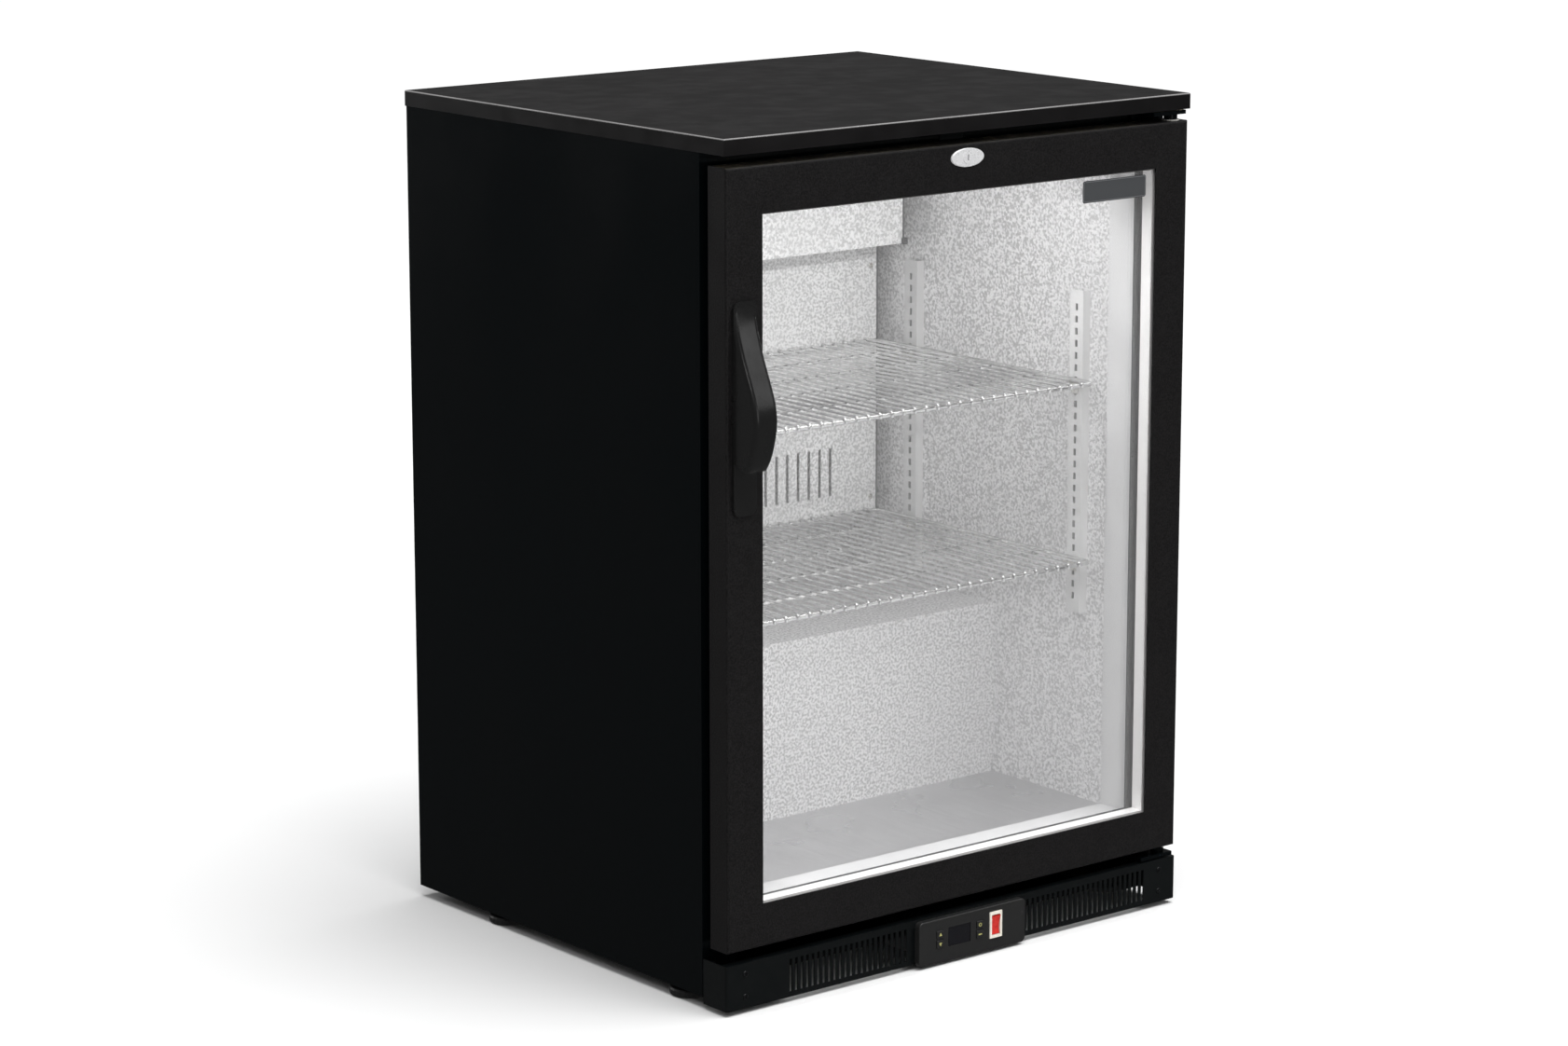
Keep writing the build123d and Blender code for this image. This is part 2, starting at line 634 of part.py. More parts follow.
# Evaporating tray: an open tray on the pot, which boils off the water from the drain.
tray_half = POT_RADIUS + 12
tray_ys = (pot_y - POT_RADIUS - 7, back_y - 20)
with BuildPart() as evaporating_tray:
    slab((pot_x - tray_half, pot_x + tray_half), tray_ys, (pot_top, pot_top + TRAY_HEIGHT))
    slab(
        (pot_x - tray_half + 2, pot_x + tray_half - 2),
        (tray_ys[0] + 2, tray_ys[1] - 2),
        (tray_floor_z, pot_top + TRAY_HEIGHT),
        mode=Mode.SUBTRACT,
    )
write(evaporating_tray.part, "evaporating_tray")

# Condenser: fins on straight tubes, stood in front of its fan.
coil_low, coil_high = pan_top, machine_z - COIL_DROP
coil_middle_z = (coil_low + coil_high) / 2
cond_fan_radius = (coil_high - coil_low) / 2 - FAN_RING - 12.25
coil_half = cond_fan_radius + FAN_RING + 10
coil_x = pan_half - COIL_SIDE_GAP - coil_half
coil_y = machine_y + COIL_FRONT_GAP + COIL_THICK / 2
cond_fins = int(2 * coil_half / COND_FIN_PITCH)
cond_rows = int((coil_high - coil_low - 30) / COND_TUBE_PITCH) + 1
tube_zs = [coil_low + 20 + COND_TUBE_PITCH * row for row in range(cond_rows)]
with BuildPart() as condenser:
    with Locations((coil_x, coil_y, coil_middle_z)):
        with GridLocations(COND_FIN_PITCH, 1, cond_fins, 1):
            Box(1, COIL_THICK, coil_high - coil_low)
    for tube_z in tube_zs:
        rod((coil_x - coil_half - 12, coil_y, tube_z), (coil_x + coil_half + 12, coil_y, tube_z), 5)
    for side in BOTH_SIDES:
        plate_x = sorted((coil_x + side * coil_half, coil_x + side * (coil_half + 2)))
        slab(plate_x, (coil_y - COIL_THICK / 2, coil_y + COIL_THICK / 2 + 2), (coil_low, coil_high))
write(condenser.part, "condenser")

# Condenser fan, its shroud with a strap for the motor, and the motor.
shroud_y = coil_y + COIL_THICK / 2 + 2
wheel_y = shroud_y + 18
motor_y = shroud_y + 36
cond_shaft = 3
with BuildPart() as fan_shroud:
    slab(
        (coil_x - coil_half - 2, coil_x + coil_half + 2),
        (shroud_y, shroud_y + 2),
        (coil_low, coil_high),
    )
    axis_front = (coil_x, shroud_y, coil_middle_z)
    rod(axis_front, (coil_x, shroud_y + 14, coil_middle_z), cond_fan_radius + FAN_RING)
    rod(axis_front, (coil_x, shroud_y + 14, coil_middle_z), cond_fan_radius + FAN_RING - 2, Mode.SUBTRACT)
    slab(
        (coil_x - coil_half, coil_x + coil_half),
        (motor_y - 3, motor_y),
        (coil_middle_z - 12, coil_middle_z + 12),
    )
    for side in BOTH_SIDES:
        leg_x = sorted((coil_x + side * coil_half, coil_x + side * (coil_half - 3)))
        slab(leg_x, (shroud_y, motor_y), (coil_middle_z - 12, coil_middle_z + 12))
    rod(axis_front, (coil_x, motor_y + 1, coil_middle_z), cond_shaft + 1, Mode.SUBTRACT)
write(fan_shroud.part, "fan_shroud")

with BuildPart() as condenser_fan:
    fan_wheel(
        coil_x, wheel_y, coil_middle_z, cond_fan_radius, 16, 12, cond_shaft + RUNNING_CLEARANCE, 5
    )
write(condenser_fan.part, "condenser_fan")

with BuildPart() as condenser_fan_motor:
    rod((coil_x, motor_y, coil_middle_z), (coil_x, motor_y + 45, coil_middle_z), 30)
    fillet(condenser_fan_motor.edges().filter_by(GeomType.CIRCLE), radius=4)
    rod((coil_x, wheel_y - 8, coil_middle_z), (coil_x, motor_y + 5, coil_middle_z), cond_shaft)
write(condenser_fan_motor.part, "condenser_fan_motor")

# Refrigerant pipes: hot gas to the condenser, liquid line with its drier, and the suction line.
PIPE = 3
bend = 12
hot_z, liquid_z = tube_zs[2], tube_zs[0]
hot_x = coil_x - coil_half - 40
suction_x = -pan_half + 15
liquid_x = pan_half - 30
suction_y, liquid_y = back_y - 14, back_y - 40
pipe_routes = (
    (
        (pot_x + POT_RADIUS - 2, pot_y, hot_z),
        (hot_x, pot_y, hot_z),
        (hot_x, coil_y, hot_z),
        (coil_x - coil_half - 12, coil_y, hot_z),
    ),
    (
        (coil_x + coil_half + 12, coil_y, liquid_z),
        (liquid_x, coil_y, liquid_z),
        (liquid_x, liquid_y, liquid_z),
        (liquid_x, liquid_y, machine_z - LINER),
    ),
    (
        (pot_x, pot_y + POT_RADIUS - 2, 100),
        (pot_x, suction_y, 100),
        (suction_x, suction_y, 100),
        (suction_x, suction_y, machine_z - LINER),
    ),
)
pipes = []
for points in pipe_routes:
    with BuildPart() as pipe:
        with BuildLine() as route:
            FilletPolyline(*points, radius=bend)
        with BuildSketch(Plane(origin=route.line @ 0, z_dir=route.line % 0)):
            Circle(PIPE)
        sweep()
        if points[0][2] == liquid_z:
            rod((liquid_x, liquid_y, 100), (liquid_x, liquid_y, 180), 10)
        # the ends stop on the pot's skin, so nothing of a pipe is inside it
        rod((pot_x, pot_y, pot_low), (pot_x, pot_y, pot_top), POT_RADIUS, Mode.SUBTRACT)
        rod((pot_x, pot_y, middle - 2), (pot_x, pot_y, middle + 2), POT_RADIUS + 3, Mode.SUBTRACT)
    pipes.append(pipe.part)
write(Compound(children=pipes), "refrigerant_pipes")

# Rear grille: a pressed sheet over the machine space, with rows of air slots.
gland_x = back_half - GLAND_SIDE_GAP
with BuildPart() as rear_grille:
    grille_low = pan_top + 1
    slab((-back_half, back_half), (case_back - LINER, case_back), (grille_low, machine_z - LINER))
    vent_low, vent_high = GLAND_Z + 27, machine_z - 31
    vent_rows = int((vent_high - vent_low) / VENT_PITCH[1]) + 1
    vent_columns = int((2 * back_half - 20) / VENT_PITCH[0])
    vent_middle = (0, case_back - LINER, (vent_low + vent_high) / 2)
    vent_plane = Plane(origin=vent_middle, x_dir=(1, 0, 0), z_dir=(0, 1, 0))
    with BuildSketch(vent_plane) as vents:
        with GridLocations(*VENT_PITCH, vent_columns, vent_rows):
            SlotOverall(*VENT_SLOT)
    extrude(amount=LINER, mode=Mode.SUBTRACT)
    rod((gland_x, case_back - 5, GLAND_Z), (gland_x, case_back + 5, GLAND_Z), GLAND_BORE, Mode.SUBTRACT)
write(rear_grille.part, "rear_grille")

# Cable gland: a moulded bush in the rear grille, where the mains lead enters.
with BuildPart() as cable_gland:
    rod((gland_x, case_back - 12, GLAND_Z), (gland_x, back_y, GLAND_Z), GLAND_BORE)
    rod((gland_x, case_back, GLAND_Z), (gland_x, back_y, GLAND_Z), GLAND_BORE + 3.5)
    rod((gland_x, case_back - LINER - 5, GLAND_Z), (gland_x, case_back - LINER, GLAND_Z), GLAND_BORE + 3.5)
    rod((gland_x, case_back - 13, GLAND_Z), (gland_x, back_y + 1, GLAND_Z), 3.6, Mode.SUBTRACT)
write(cable_gland.part, "cable_gland")

# ======== kick grille and controls ========

grille_half = WIDTH / 2 - 0.6
slot_low, slot_high = GRILLE_BOTTOM + 5, grille_top - 7
control_right = CONTROL_LEFT + CONTROL_WIDTH
control_top = CONTROL_BOTTOM + CONTROL_HEIGHT
slot_bands = (
    (-grille_half + BAND_LEFT_MARGIN, CONTROL_LEFT - BAND_CONTROL_GAPS[0]),
    (control_right + BAND_CONTROL_GAPS[1], grille_half - BAND_RIGHT_MARGIN),
)
grille_screw_x = grille_half - GRILLE_SCREW_MARGIN
grille_screw_zs = (GRILLE_BOTTOM + 11.5, grille_top - 11)
grille_screw_spots = [(side * grille_screw_x, z) for side in BOTH_SIDES for z in grille_screw_zs]
with BuildPart() as grille:
    slab((-grille_half, grille_half), (front_y, y_at(GRILLE_SIDE)), (GRILLE_BOTTOM, grille_top))
    fillet(grille.edges().filter_by(Axis.Z).group_by(Axis.Y)[0], radius=3)
    slab(
        (-grille_half + GRILLE_SHEET, grille_half - GRILLE_SHEET),
        (front_y + GRILLE_SHEET, y_at(GRILLE_SIDE)),
        (GRILLE_BOTTOM, grille_top - GRILLE_SHEET),
        mode=Mode.SUBTRACT,
    )
    slab(
        (-grille_half + GRILLE_SHEET, grille_half - GRILLE_SHEET),
        (y_at(10), y_at(GRILLE_SIDE)),
        (GRILLE_BOTTOM, grille_top),
        mode=Mode.SUBTRACT,
    )
    for side in BOTH_SIDES:
        tab_x = sorted((side * (grille_half - 1), side * (grille_half - 14)))
        slab(tab_x, (y_at(GRILLE_SIDE - 2), case_front), (FOOT_GAP, grille_top - 5.5))
    for low_x, high_x in slot_bands:
        slot_total = int((high_x - low_x) / SLOT_PITCH) + 1
        with BuildSketch(Plane(origin=(0, front_y, 0), x_dir=(1, 0, 0), z_dir=(0, 1, 0))) as air:
            with Locations(((low_x + high_x) / 2, -(slot_low + slot_high) / 2)):
                with GridLocations(SLOT_PITCH, 1, slot_total, 1):
                    Rectangle(SLOT_WIDTH, slot_high - slot_low)
        extrude(amount=GRILLE_SHEET, mode=Mode.SUBTRACT)
    slab(
        (CONTROL_LEFT + 4, control_right - 4),
        (front_y, y_at(20)),
        (CONTROL_BOTTOM, control_top - 4),
        mode=Mode.SUBTRACT,
    )
    for x, z in grille_screw_spots:
        rod((x, front_y - 1, z), (x, front_y + 3, z), SCREW_RADIUS, Mode.SUBTRACT)
write(grille.part, "grille")

# Control bezel: a shallow moulded cover with windows for the display, four keys and the switch.
bezel_face = front_y - CONTROL_PROUD
bezel_inner = bezel_face + CONTROL_PLATE
display_x = (CONTROL_LEFT + DISPLAY_LEFT_GAP, CONTROL_LEFT + DISPLAY_LEFT_GAP + DISPLAY_SIZE[0])
display_z = (control_top - DISPLAY_DROP - DISPLAY_SIZE[1], control_top - DISPLAY_DROP)
button_xs = [CONTROL_LEFT + column for column in BUTTON_COLUMNS]
button_zs = [control_top - row for row in BUTTON_ROWS]
button_spots = {
    "key_upper_left": (button_xs[0], button_zs[0]),
    "key_lower_left": (button_xs[0], button_zs[1]),
    "key_upper_right": (button_xs[1], button_zs[0]),
    "key_lower_right": (button_xs[1], button_zs[1]),
}
rocker_x = CONTROL_LEFT + ROCKER_COLUMN
housing_x = (rocker_x - ROCKER_WIDTH / 2, rocker_x + ROCKER_WIDTH / 2)
housing_z = (CONTROL_BOTTOM + 2 * ROCKER_EDGE + 0.6, control_top - ROCKER_EDGE)
rocker_z = (housing_z[0] + housing_z[1]) / 2
with BuildPart() as controller_bezel:
    slab((CONTROL_LEFT, control_right), (bezel_face, front_y), (CONTROL_BOTTOM, control_top))
    fillet(controller_bezel.edges().filter_by(Axis.Y), radius=5)
    fillet(controller_bezel.faces().sort_by(Axis.Y)[0].edges(), radius=1.2)
    slab(
        (CONTROL_LEFT + CONTROL_MARGIN, control_right - CONTROL_MARGIN),
        (bezel_inner, front_y),
        (CONTROL_BOTTOM + CONTROL_MARGIN, control_top - CONTROL_MARGIN),
        mode=Mode.SUBTRACT,
    )
    slab(display_x, (bezel_face, bezel_inner), display_z, mode=Mode.SUBTRACT)
    for x, z in button_spots.values():
        slab(
            (x - BUTTON_SIZE[0] / 2 - BUTTON_GAP, x + BUTTON_SIZE[0] / 2 + BUTTON_GAP),
            (bezel_face, bezel_inner),
            (z - BUTTON_SIZE[1] / 2 - BUTTON_GAP, z + BUTTON_SIZE[1] / 2 + BUTTON_GAP),
            mode=Mode.SUBTRACT,
        )
    slab(
        (housing_x[0] + 1, housing_x[1] - 1),
        (bezel_face, bezel_inner),
        (housing_z[0] + 1, housing_z[1] - 1),
        mode=Mode.SUBTRACT,
    )
write(controller_bezel.part, "controller_bezel")

# Controller body: the electronics box behind the bezel, with the display raised into its window.
with BuildPart() as controller_body:
    body_x = (CONTROL_LEFT + 10, rocker_x - 13)
    slab(body_x, (y_at(1.5), y_at(PAN_FRONT - 6)), (CONTROL_BOTTOM + 8, control_top - 8))
    slab(display_x, (bezel_face + 0.6, y_at(1.5)), display_z)
write(controller_body.part, "controller_body")

# Keys: four sprung caps that travel into the bezel.
for name, (x, z) in button_spots.items():
    with BuildPart() as key:
        slab(
            (x - BUTTON_SIZE[0] / 2, x + BUTTON_SIZE[0] / 2),
            (bezel_face - 1, bezel_inner + 0.5),
            (z - BUTTON_SIZE[1] / 2, z + BUTTON_SIZE[1] / 2),
        )
        fillet(key.edges().filter_by(Axis.Y), radius=1.2)
        fillet(key.faces().sort_by(Axis.Y)[0].edges(), radius=0.5)
    write(key.part, name)

# Power switch: a moulded housing with a flange on the bezel, open in front for the rocker.
rocker_pivot_y = front_y - 2.5
cavity_half = (housing_z[1] - housing_z[0]) / 2 - ROCKER_RIM
with BuildPart() as rocker_housing:
    slab(housing_x, (bezel_face - 1.5, bezel_face), housing_z)
    slab((housing_x[0] + 1, housing_x[1] - 1), (bezel_face, y_at(16)), (housing_z[0] + 1, housing_z[1] - 1))
    slab(
        (housing_x[0] + ROCKER_WALL, housing_x[1] - ROCKER_WALL),
        (bezel_face - 1.5, y_at(5)),
        (rocker_z - cavity_half, rocker_z + cavity_half),
        mode=Mode.SUBTRACT,
    )
    stub_ends = [(x, rocker_pivot_y, rocker_z) for x in (housing_x[0] + 1.3, housing_x[1] - 1.3)]
    rod(*stub_ends, ROCKER_STUB + RUNNING_CLEARANCE, Mode.SUBTRACT)
write(rocker_housing.part, "rocker_housing")

# Rocker: hollow in front, on two stubs in the housing's walls, at rest tipped to one side.
ROCKER_TILT = 6
rocker_half = cavity_half - 1
rocker_inset = ROCKER_WALL + 0.3
with BuildPart() as rocker:
    tilted = Plane(
        origin=(housing_x[0] + rocker_inset, rocker_pivot_y, rocker_z),
        x_dir=(0, cos(radians(ROCKER_TILT)), sin(radians(ROCKER_TILT))),
        z_dir=(1, 0, 0),
    )
    with BuildSketch(tilted) as rocker_side:
        with BuildLine():
            front_curve = ThreePointArc((-6, rocker_half), (-4.4, 0), (-6, -rocker_half))
            Polyline(front_curve @ 1, (2, -rocker_half), (6, -3), (6, 3), (2, rocker_half), front_curve @ 0)
        make_face()
    extrude(amount=ROCKER_WIDTH - 2 * rocker_inset)
    rod(*stub_ends, ROCKER_STUB)
write(rocker.part, "rocker")

# ======== hinges and lock on the cabinet ========

bracket_x = (hinge_x - 33, hinge_x + 11)
leg_y = (case_front - 3, case_front)
collar_radius = PIN_RADIUS + 3
bush_flange = 1
top_plate_z = (case_top - 5, case_top - 1)
bottom_plate_z = (grille_top + 1.5, grille_top + 5.5)
pin_reach = BUSH_LENGTH - 4
with BuildPart() as top_hinge:
    slab(bracket_x, (front_y + 2, case_front), top_plate_z)
    slab(bracket_x, leg_y, (door_top - 19, top_plate_z[1]))
    rod((hinge_x, hinge_y, door_top + bush_flange + 0.5), (hinge_x, hinge_y, top_plate_z[0]), collar_radius)
    rod((hinge_x, hinge_y, door_top - pin_reach), (hinge_x, hinge_y, top_plate_z[1]), PIN_RADIUS)
write(top_hinge.part, "top_hinge")

with BuildPart() as bottom_hinge:
    slab(bracket_x, (front_y + 2, case_front), bottom_plate_z)
    slab(bracket_x, leg_y, (bottom_plate_z[0], door_bottom + 18.5))
    collar_top = (hinge_x, hinge_y, door_bottom - bush_flange - 0.3)
    rod((hinge_x, hinge_y, bottom_plate_z[1]), collar_top, collar_radius)
    rod((hinge_x, hinge_y, bottom_plate_z[0]), (hinge_x, hinge_y, door_bottom + pin_reach), PIN_RADIUS)
write(bottom_hinge.part, "bottom_hinge")

# Lock keeper: a bent tab that hangs in front of the cam when the cam stands up.
cam_y = (door_back + 1, door_back + 3)
with BuildPart() as lock_keeper:
    slab((-15, 15), (door_back - 4, door_back - 2.5), (door_top + 2, case_top))
    slab((-15, 15), (door_back - 4, case_front), (case_top - 1.2, case_top))
write(lock_keeper.part, "lock_keeper")

# ======== door ========

seat_half = sight_half + GLASS_LIP
seat_low, seat_high = sight_bottom - GLASS_LIP, sight_top + GLASS_LIP
ring_half = hinge_x - BUSH_RADIUS - RING_CLEARANCE
ring_low = sight_bottom - LINER_RING_FOOT
ring_high = lock_z - LOCK_RADIUS - 1
glass_front_y = front_y + GLASS_SETBACK
spacer_y = (glass_front_y + GLASS, glass_front_y + GLASS + PANE_GAP)
glass_back_y = spacer_y[1] + GLASS

# Door frame: one welded frame, rebated from behind for the glass and the inner ring.
with BuildPart() as door_frame:
    slab((-door_half, door_half), (front_y, door_back), (door_bottom, door_top))
    fillet(door_frame.faces().sort_by(Axis.Y)[0].edges(), radius=DOOR_ROUND)
    slab((-sight_half, sight_half), (front_y, door_back), (sight_bottom, sight_top), mode=Mode.SUBTRACT)
    slab((-seat_half, seat_half), (glass_front_y, door_back), (seat_low, seat_high), mode=Mode.SUBTRACT)
    slab((-ring_half, ring_half), (glass_back_y, door_back), (ring_low, ring_high), mode=Mode.SUBTRACT)
    rod((0, front_y - 1, lock_z), (0, door_back + 1, lock_z), LOCK_RADIUS, Mode.SUBTRACT)
    bar_low = (hinge_x, hinge_y, door_bottom + BUSH_LENGTH)
    bar_high = (hinge_x, hinge_y, door_bottom + BUSH_LENGTH + CLOSER_LENGTH)
    rod((hinge_x, hinge_y, door_top - BUSH_LENGTH), (hinge_x, hinge_y, door_top), BUSH_RADIUS, Mode.SUBTRACT)
    rod((hinge_x, hinge_y, door_bottom), bar_low, BUSH_RADIUS, Mode.SUBTRACT)
    rod(bar_low, bar_high, CLOSER_RADIUS, Mode.SUBTRACT)
write(door_frame.part, "door_frame")

# Closer bar: a steel torsion bar in the hinge stile, which swings the door shut.
with BuildPart() as closer_bar:
    rod(bar_low, bar_high, CLOSER_RADIUS)
write(closer_bar.part, "closer_bar")

# Door liner: a moulded ring behind the glass that carries the gasket.
with BuildPart() as door_liner:
    ring(
        ring_half, ring_low, ring_high, sight_half, sight_bottom, sight_top, (glass_back_y, door_back)
    )
write(door_liner.part, "door_liner")

# Glass: two toughened panes held apart by a spacer frame of aluminium tube.
panes = []
for pane_y in ((glass_front_y, spacer_y[0]), (spacer_y[1], glass_back_y)):
    with BuildPart() as pane:
        slab((-seat_half, seat_half), pane_y, (seat_low, seat_high))
    panes.append(pane.part)
write(Compound(children=panes), "glass_panes")

spacer_inner = sight_half - SPACER_SHOW
with BuildPart() as glass_spacer:
    ring(
        spacer_inner + SPACER_WIDTH,
        sight_bottom + SPACER_SHOW - SPACER_WIDTH,
        sight_top - SPACER_SHOW + SPACER_WIDTH,
        spacer_inner,
        sight_bottom + SPACER_SHOW,
        sight_top - SPACER_SHOW,
        spacer_y,
    )
write(glass_spacer.part, "glass_spacer")

# Gasket: a soft magnetic profile, wide at its root, narrow in its bellows and wide at its face.
gasket_half = ring_half - GASKET_EDGE
gasket_low, gasket_high = ring_low + GASKET_FOOT_EDGE, ring_high
gasket_steps = ((0, 3, 0), (3, 7, 3), (7, GASKET_GAP, 1))
with BuildPart() as gasket:
    for near, far, narrowing in gasket_steps:
        span = (door_back + near, door_back + far)
        outer = (gasket_half - narrowing, gasket_low + narrowing, gasket_high - narrowing)
        inner_half = gasket_half - GASKET_WIDTH + narrowing
        inner_low = gasket_low + GASKET_WIDTH - narrowing
        inner_high = gasket_high - GASKET_WIDTH + narrowing
        with BuildSketch(Plane(origin=(0, span[0], 0), x_dir=(1, 0, 0), z_dir=(0, 1, 0))) as loop:
            with Locations((0, -(outer[1] + outer[2]) / 2)):
                Rectangle(2 * outer[0], outer[2] - outer[1])
            with Locations((0, -(inner_low + inner_high) / 2)):
                Rectangle(2 * inner_half, inner_high - inner_low, mode=Mode.SUBTRACT)
        extrude(amount=far - near)
write(gasket.part, "gasket")

# Hinge bushes: flanged nylon bushes in the two ends of the hinge stile.
bushes = []
for outside, inside, face in (
    (door_top + bush_flange, door_top - BUSH_LENGTH, door_top),
    (door_bottom - bush_flange, door_bottom + BUSH_LENGTH, door_bottom),
):
    with BuildPart() as bush:
        rod((hinge_x, hinge_y, face), (hinge_x, hinge_y, inside), BUSH_RADIUS)
        rod((hinge_x, hinge_y, face), (hinge_x, hinge_y, outside), BUSH_RADIUS + 3)
        bore_radius = PIN_RADIUS + RUNNING_CLEARANCE
        rod((hinge_x, hinge_y, outside), (hinge_x, hinge_y, inside), bore_radius, Mode.SUBTRACT)
    bushes.append(bush.part)
write(Compound(children=bushes), "hinge_bushes")

# Handle: a moulded bow grip on a base plate, closed on its outer side and open to the fingers.
handle_left = -door_half + HANDLE_EDGE
handle_top = door_top - HANDLE_DROP
handle_bottom = handle_top - HANDLE_LENGTH
plate_y = front_y - HANDLE_PLATE
grip_y = front_y - HANDLE_REACH
with BuildPart() as handle:
    with BuildSketch(Plane.YZ.offset(handle_left)) as grip_side:
        with BuildLine():
            bow = Spline(
                (plate_y, handle_top - 6),
                (plate_y - 5, handle_top - 30),
                (plate_y - 20, handle_top - 68),
                (grip_y, handle_top - 110),
                (grip_y + 5, handle_top - 138),
                (grip_y + 16, handle_top - 160),
                tangents=((-0.1, -1), (0.75, -1)),
            )
            Polyline(bow @ 1, (plate_y, handle_top - 152), bow @ 0)
        make_face()
    extrude(amount=HANDLE_WIDTH)
    outer_edges = handle.faces().sort_by(Axis.Y)[0].edges().filter_by(GeomType.BSPLINE)
    fillet(outer_edges, radius=5)
    with BuildSketch(Plane.YZ.offset(handle_left + HANDLE_WEB)) as pocket_side:
        with BuildLine():
            hollow = Spline(
                (plate_y, handle_top - 56),
                (plate_y - 11, handle_top - 76),
                (grip_y + 8, handle_top - 112),
                (grip_y + 11, handle_top - 136),
                (grip_y + 20, handle_top - 164),
                tangents=((-0.5, -1), (0.75, -1)),
            )
            Polyline(hollow @ 1, (plate_y, handle_top - 164), hollow @ 0)
        make_face()
    extrude(amount=HANDLE_WIDTH, mode=Mode.SUBTRACT)
    with BuildSketch(Plane(origin=(0, front_y, 0), x_dir=(1, 0, 0), z_dir=(0, -1, 0))) as plate:
        with Locations((handle_left + HANDLE_WIDTH / 2, (handle_bottom + handle_top) / 2)):
            RectangleRounded(HANDLE_WIDTH, handle_top - handle_bottom, 8)
    extrude(amount=HANDLE_PLATE)
write(handle.part, "handle")

# Lock: an oval escutcheon with its barrel through the top rail.
with BuildPart() as lock_barrel:
    with BuildSketch(Plane(origin=(0, front_y, lock_z), x_dir=(1, 0, 0), z_dir=(0, -1, 0))) as oval:
        Ellipse(21, 9.2)
    extrude(amount=1.8)
    fillet(lock_barrel.faces().sort_by(Axis.Y)[0].edges(), radius=1)
    rod((0, front_y, lock_z), (0, door_back, lock_z), LOCK_RADIUS)
    barrel_bore = CYLINDER_RADIUS + RUNNING_CLEARANCE
    rod((0, front_y - 3, lock_z), (0, door_back + 1, lock_z), barrel_bore, Mode.SUBTRACT)
write(lock_barrel.part, "lock_barrel")

# Lock cylinder: turns in the barrel with a keyway in front and a cam behind.
with BuildPart() as lock_cylinder:
    rod((0, front_y - 2.3, lock_z), (0, cam_y[1], lock_z), CYLINDER_RADIUS)
    slab((-0.8, 0.8), (front_y - 2.3, front_y + 8), (lock_z - 3, lock_z + 3), mode=Mode.SUBTRACT)
    rod((0, cam_y[0], lock_z), (0, cam_y[1], lock_z), LOCK_RADIUS)
    slab((-CAM_REACH, 0), cam_y, (lock_z - 5, lock_z + 5))
write(lock_cylinder.part, "lock_cylinder")

# ======== fasteners ========

# Screws: pan heads on short shanks, in the kick grille, the evaporator cover and the rear grille.
cover_screw_zs = (panel_bottom + 20, box_bottom - 31)
cover_screw_spots = [(side * (panel_half - 8), z) for side in BOTH_SIDES for z in cover_screw_zs]
rear_screw_zs = (pan_top + 30, machine_z - 20)
rear_screw_spots = [(side * (back_half - 10), z) for side in BOTH_SIDES for z in rear_screw_zs]
screws = []
for spots, face_y, outward, shank in (
    (grille_screw_spots, front_y, -1, GRILLE_SHEET),
    (cover_screw_spots, panel_y, -1, 0),
    (rear_screw_spots, case_back, 1, 0),
):
    for x, z in spots:
        with BuildPart() as screw:
            rod((x, face_y, z), (x, face_y + outward * 1.0, z), SCREW_HEAD_RADIUS)
            if shank:
                rod((x, face_y, z), (x, face_y - outward * shank, z), SCREW_RADIUS)
        screws.append(screw.part)
write(Compound(children=screws), "screws")
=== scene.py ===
import math

import bmesh
import bpy
import numpy as np
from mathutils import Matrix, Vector


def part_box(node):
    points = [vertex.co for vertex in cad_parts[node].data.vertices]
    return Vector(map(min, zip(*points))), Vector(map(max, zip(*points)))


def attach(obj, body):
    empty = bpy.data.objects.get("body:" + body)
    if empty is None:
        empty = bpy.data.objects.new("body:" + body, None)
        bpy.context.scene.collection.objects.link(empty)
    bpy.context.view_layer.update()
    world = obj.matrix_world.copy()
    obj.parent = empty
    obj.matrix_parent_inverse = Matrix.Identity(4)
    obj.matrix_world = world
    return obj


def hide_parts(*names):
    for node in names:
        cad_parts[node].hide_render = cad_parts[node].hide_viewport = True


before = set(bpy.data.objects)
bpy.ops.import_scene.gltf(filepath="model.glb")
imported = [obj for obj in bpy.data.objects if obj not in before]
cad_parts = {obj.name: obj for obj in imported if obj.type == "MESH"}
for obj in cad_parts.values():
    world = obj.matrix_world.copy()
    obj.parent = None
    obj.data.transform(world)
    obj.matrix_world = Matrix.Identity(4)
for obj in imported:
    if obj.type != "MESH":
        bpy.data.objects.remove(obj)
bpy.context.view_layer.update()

MM = 0.001

# ======== worktop ========
# The worktop is one steel pan folded down on four sides and foamed onto the cabinet.
# Its dark satin coat has a fine grain, and a pale band painted along the upper rim is a painted
# highlight.


COAT_ROUGHNESS = 0.05


def shader_of(material):
    """The one surface shader of a material."""
    return material.node_tree.nodes["Principled BSDF"]


def new_finish(name, colour, metallic=0.0, roughness=0.5, specular=0.5, coat=0.0):
    """A material with one shader, whose even values sit on the shader's own sockets."""
    material = bpy.data.materials.new(name)
    material.use_nodes = True
    even_values = {
        "Base Color": (*colour, 1),
        "Metallic": metallic,
        "Roughness": roughness,
        "Specular IOR Level": specular,
        "Coat Weight": coat,
        "Coat Roughness": COAT_ROUGHNESS,
    }
    for socket, value in even_values.items():
        shader_of(material).inputs[socket].default_value = value
    return material


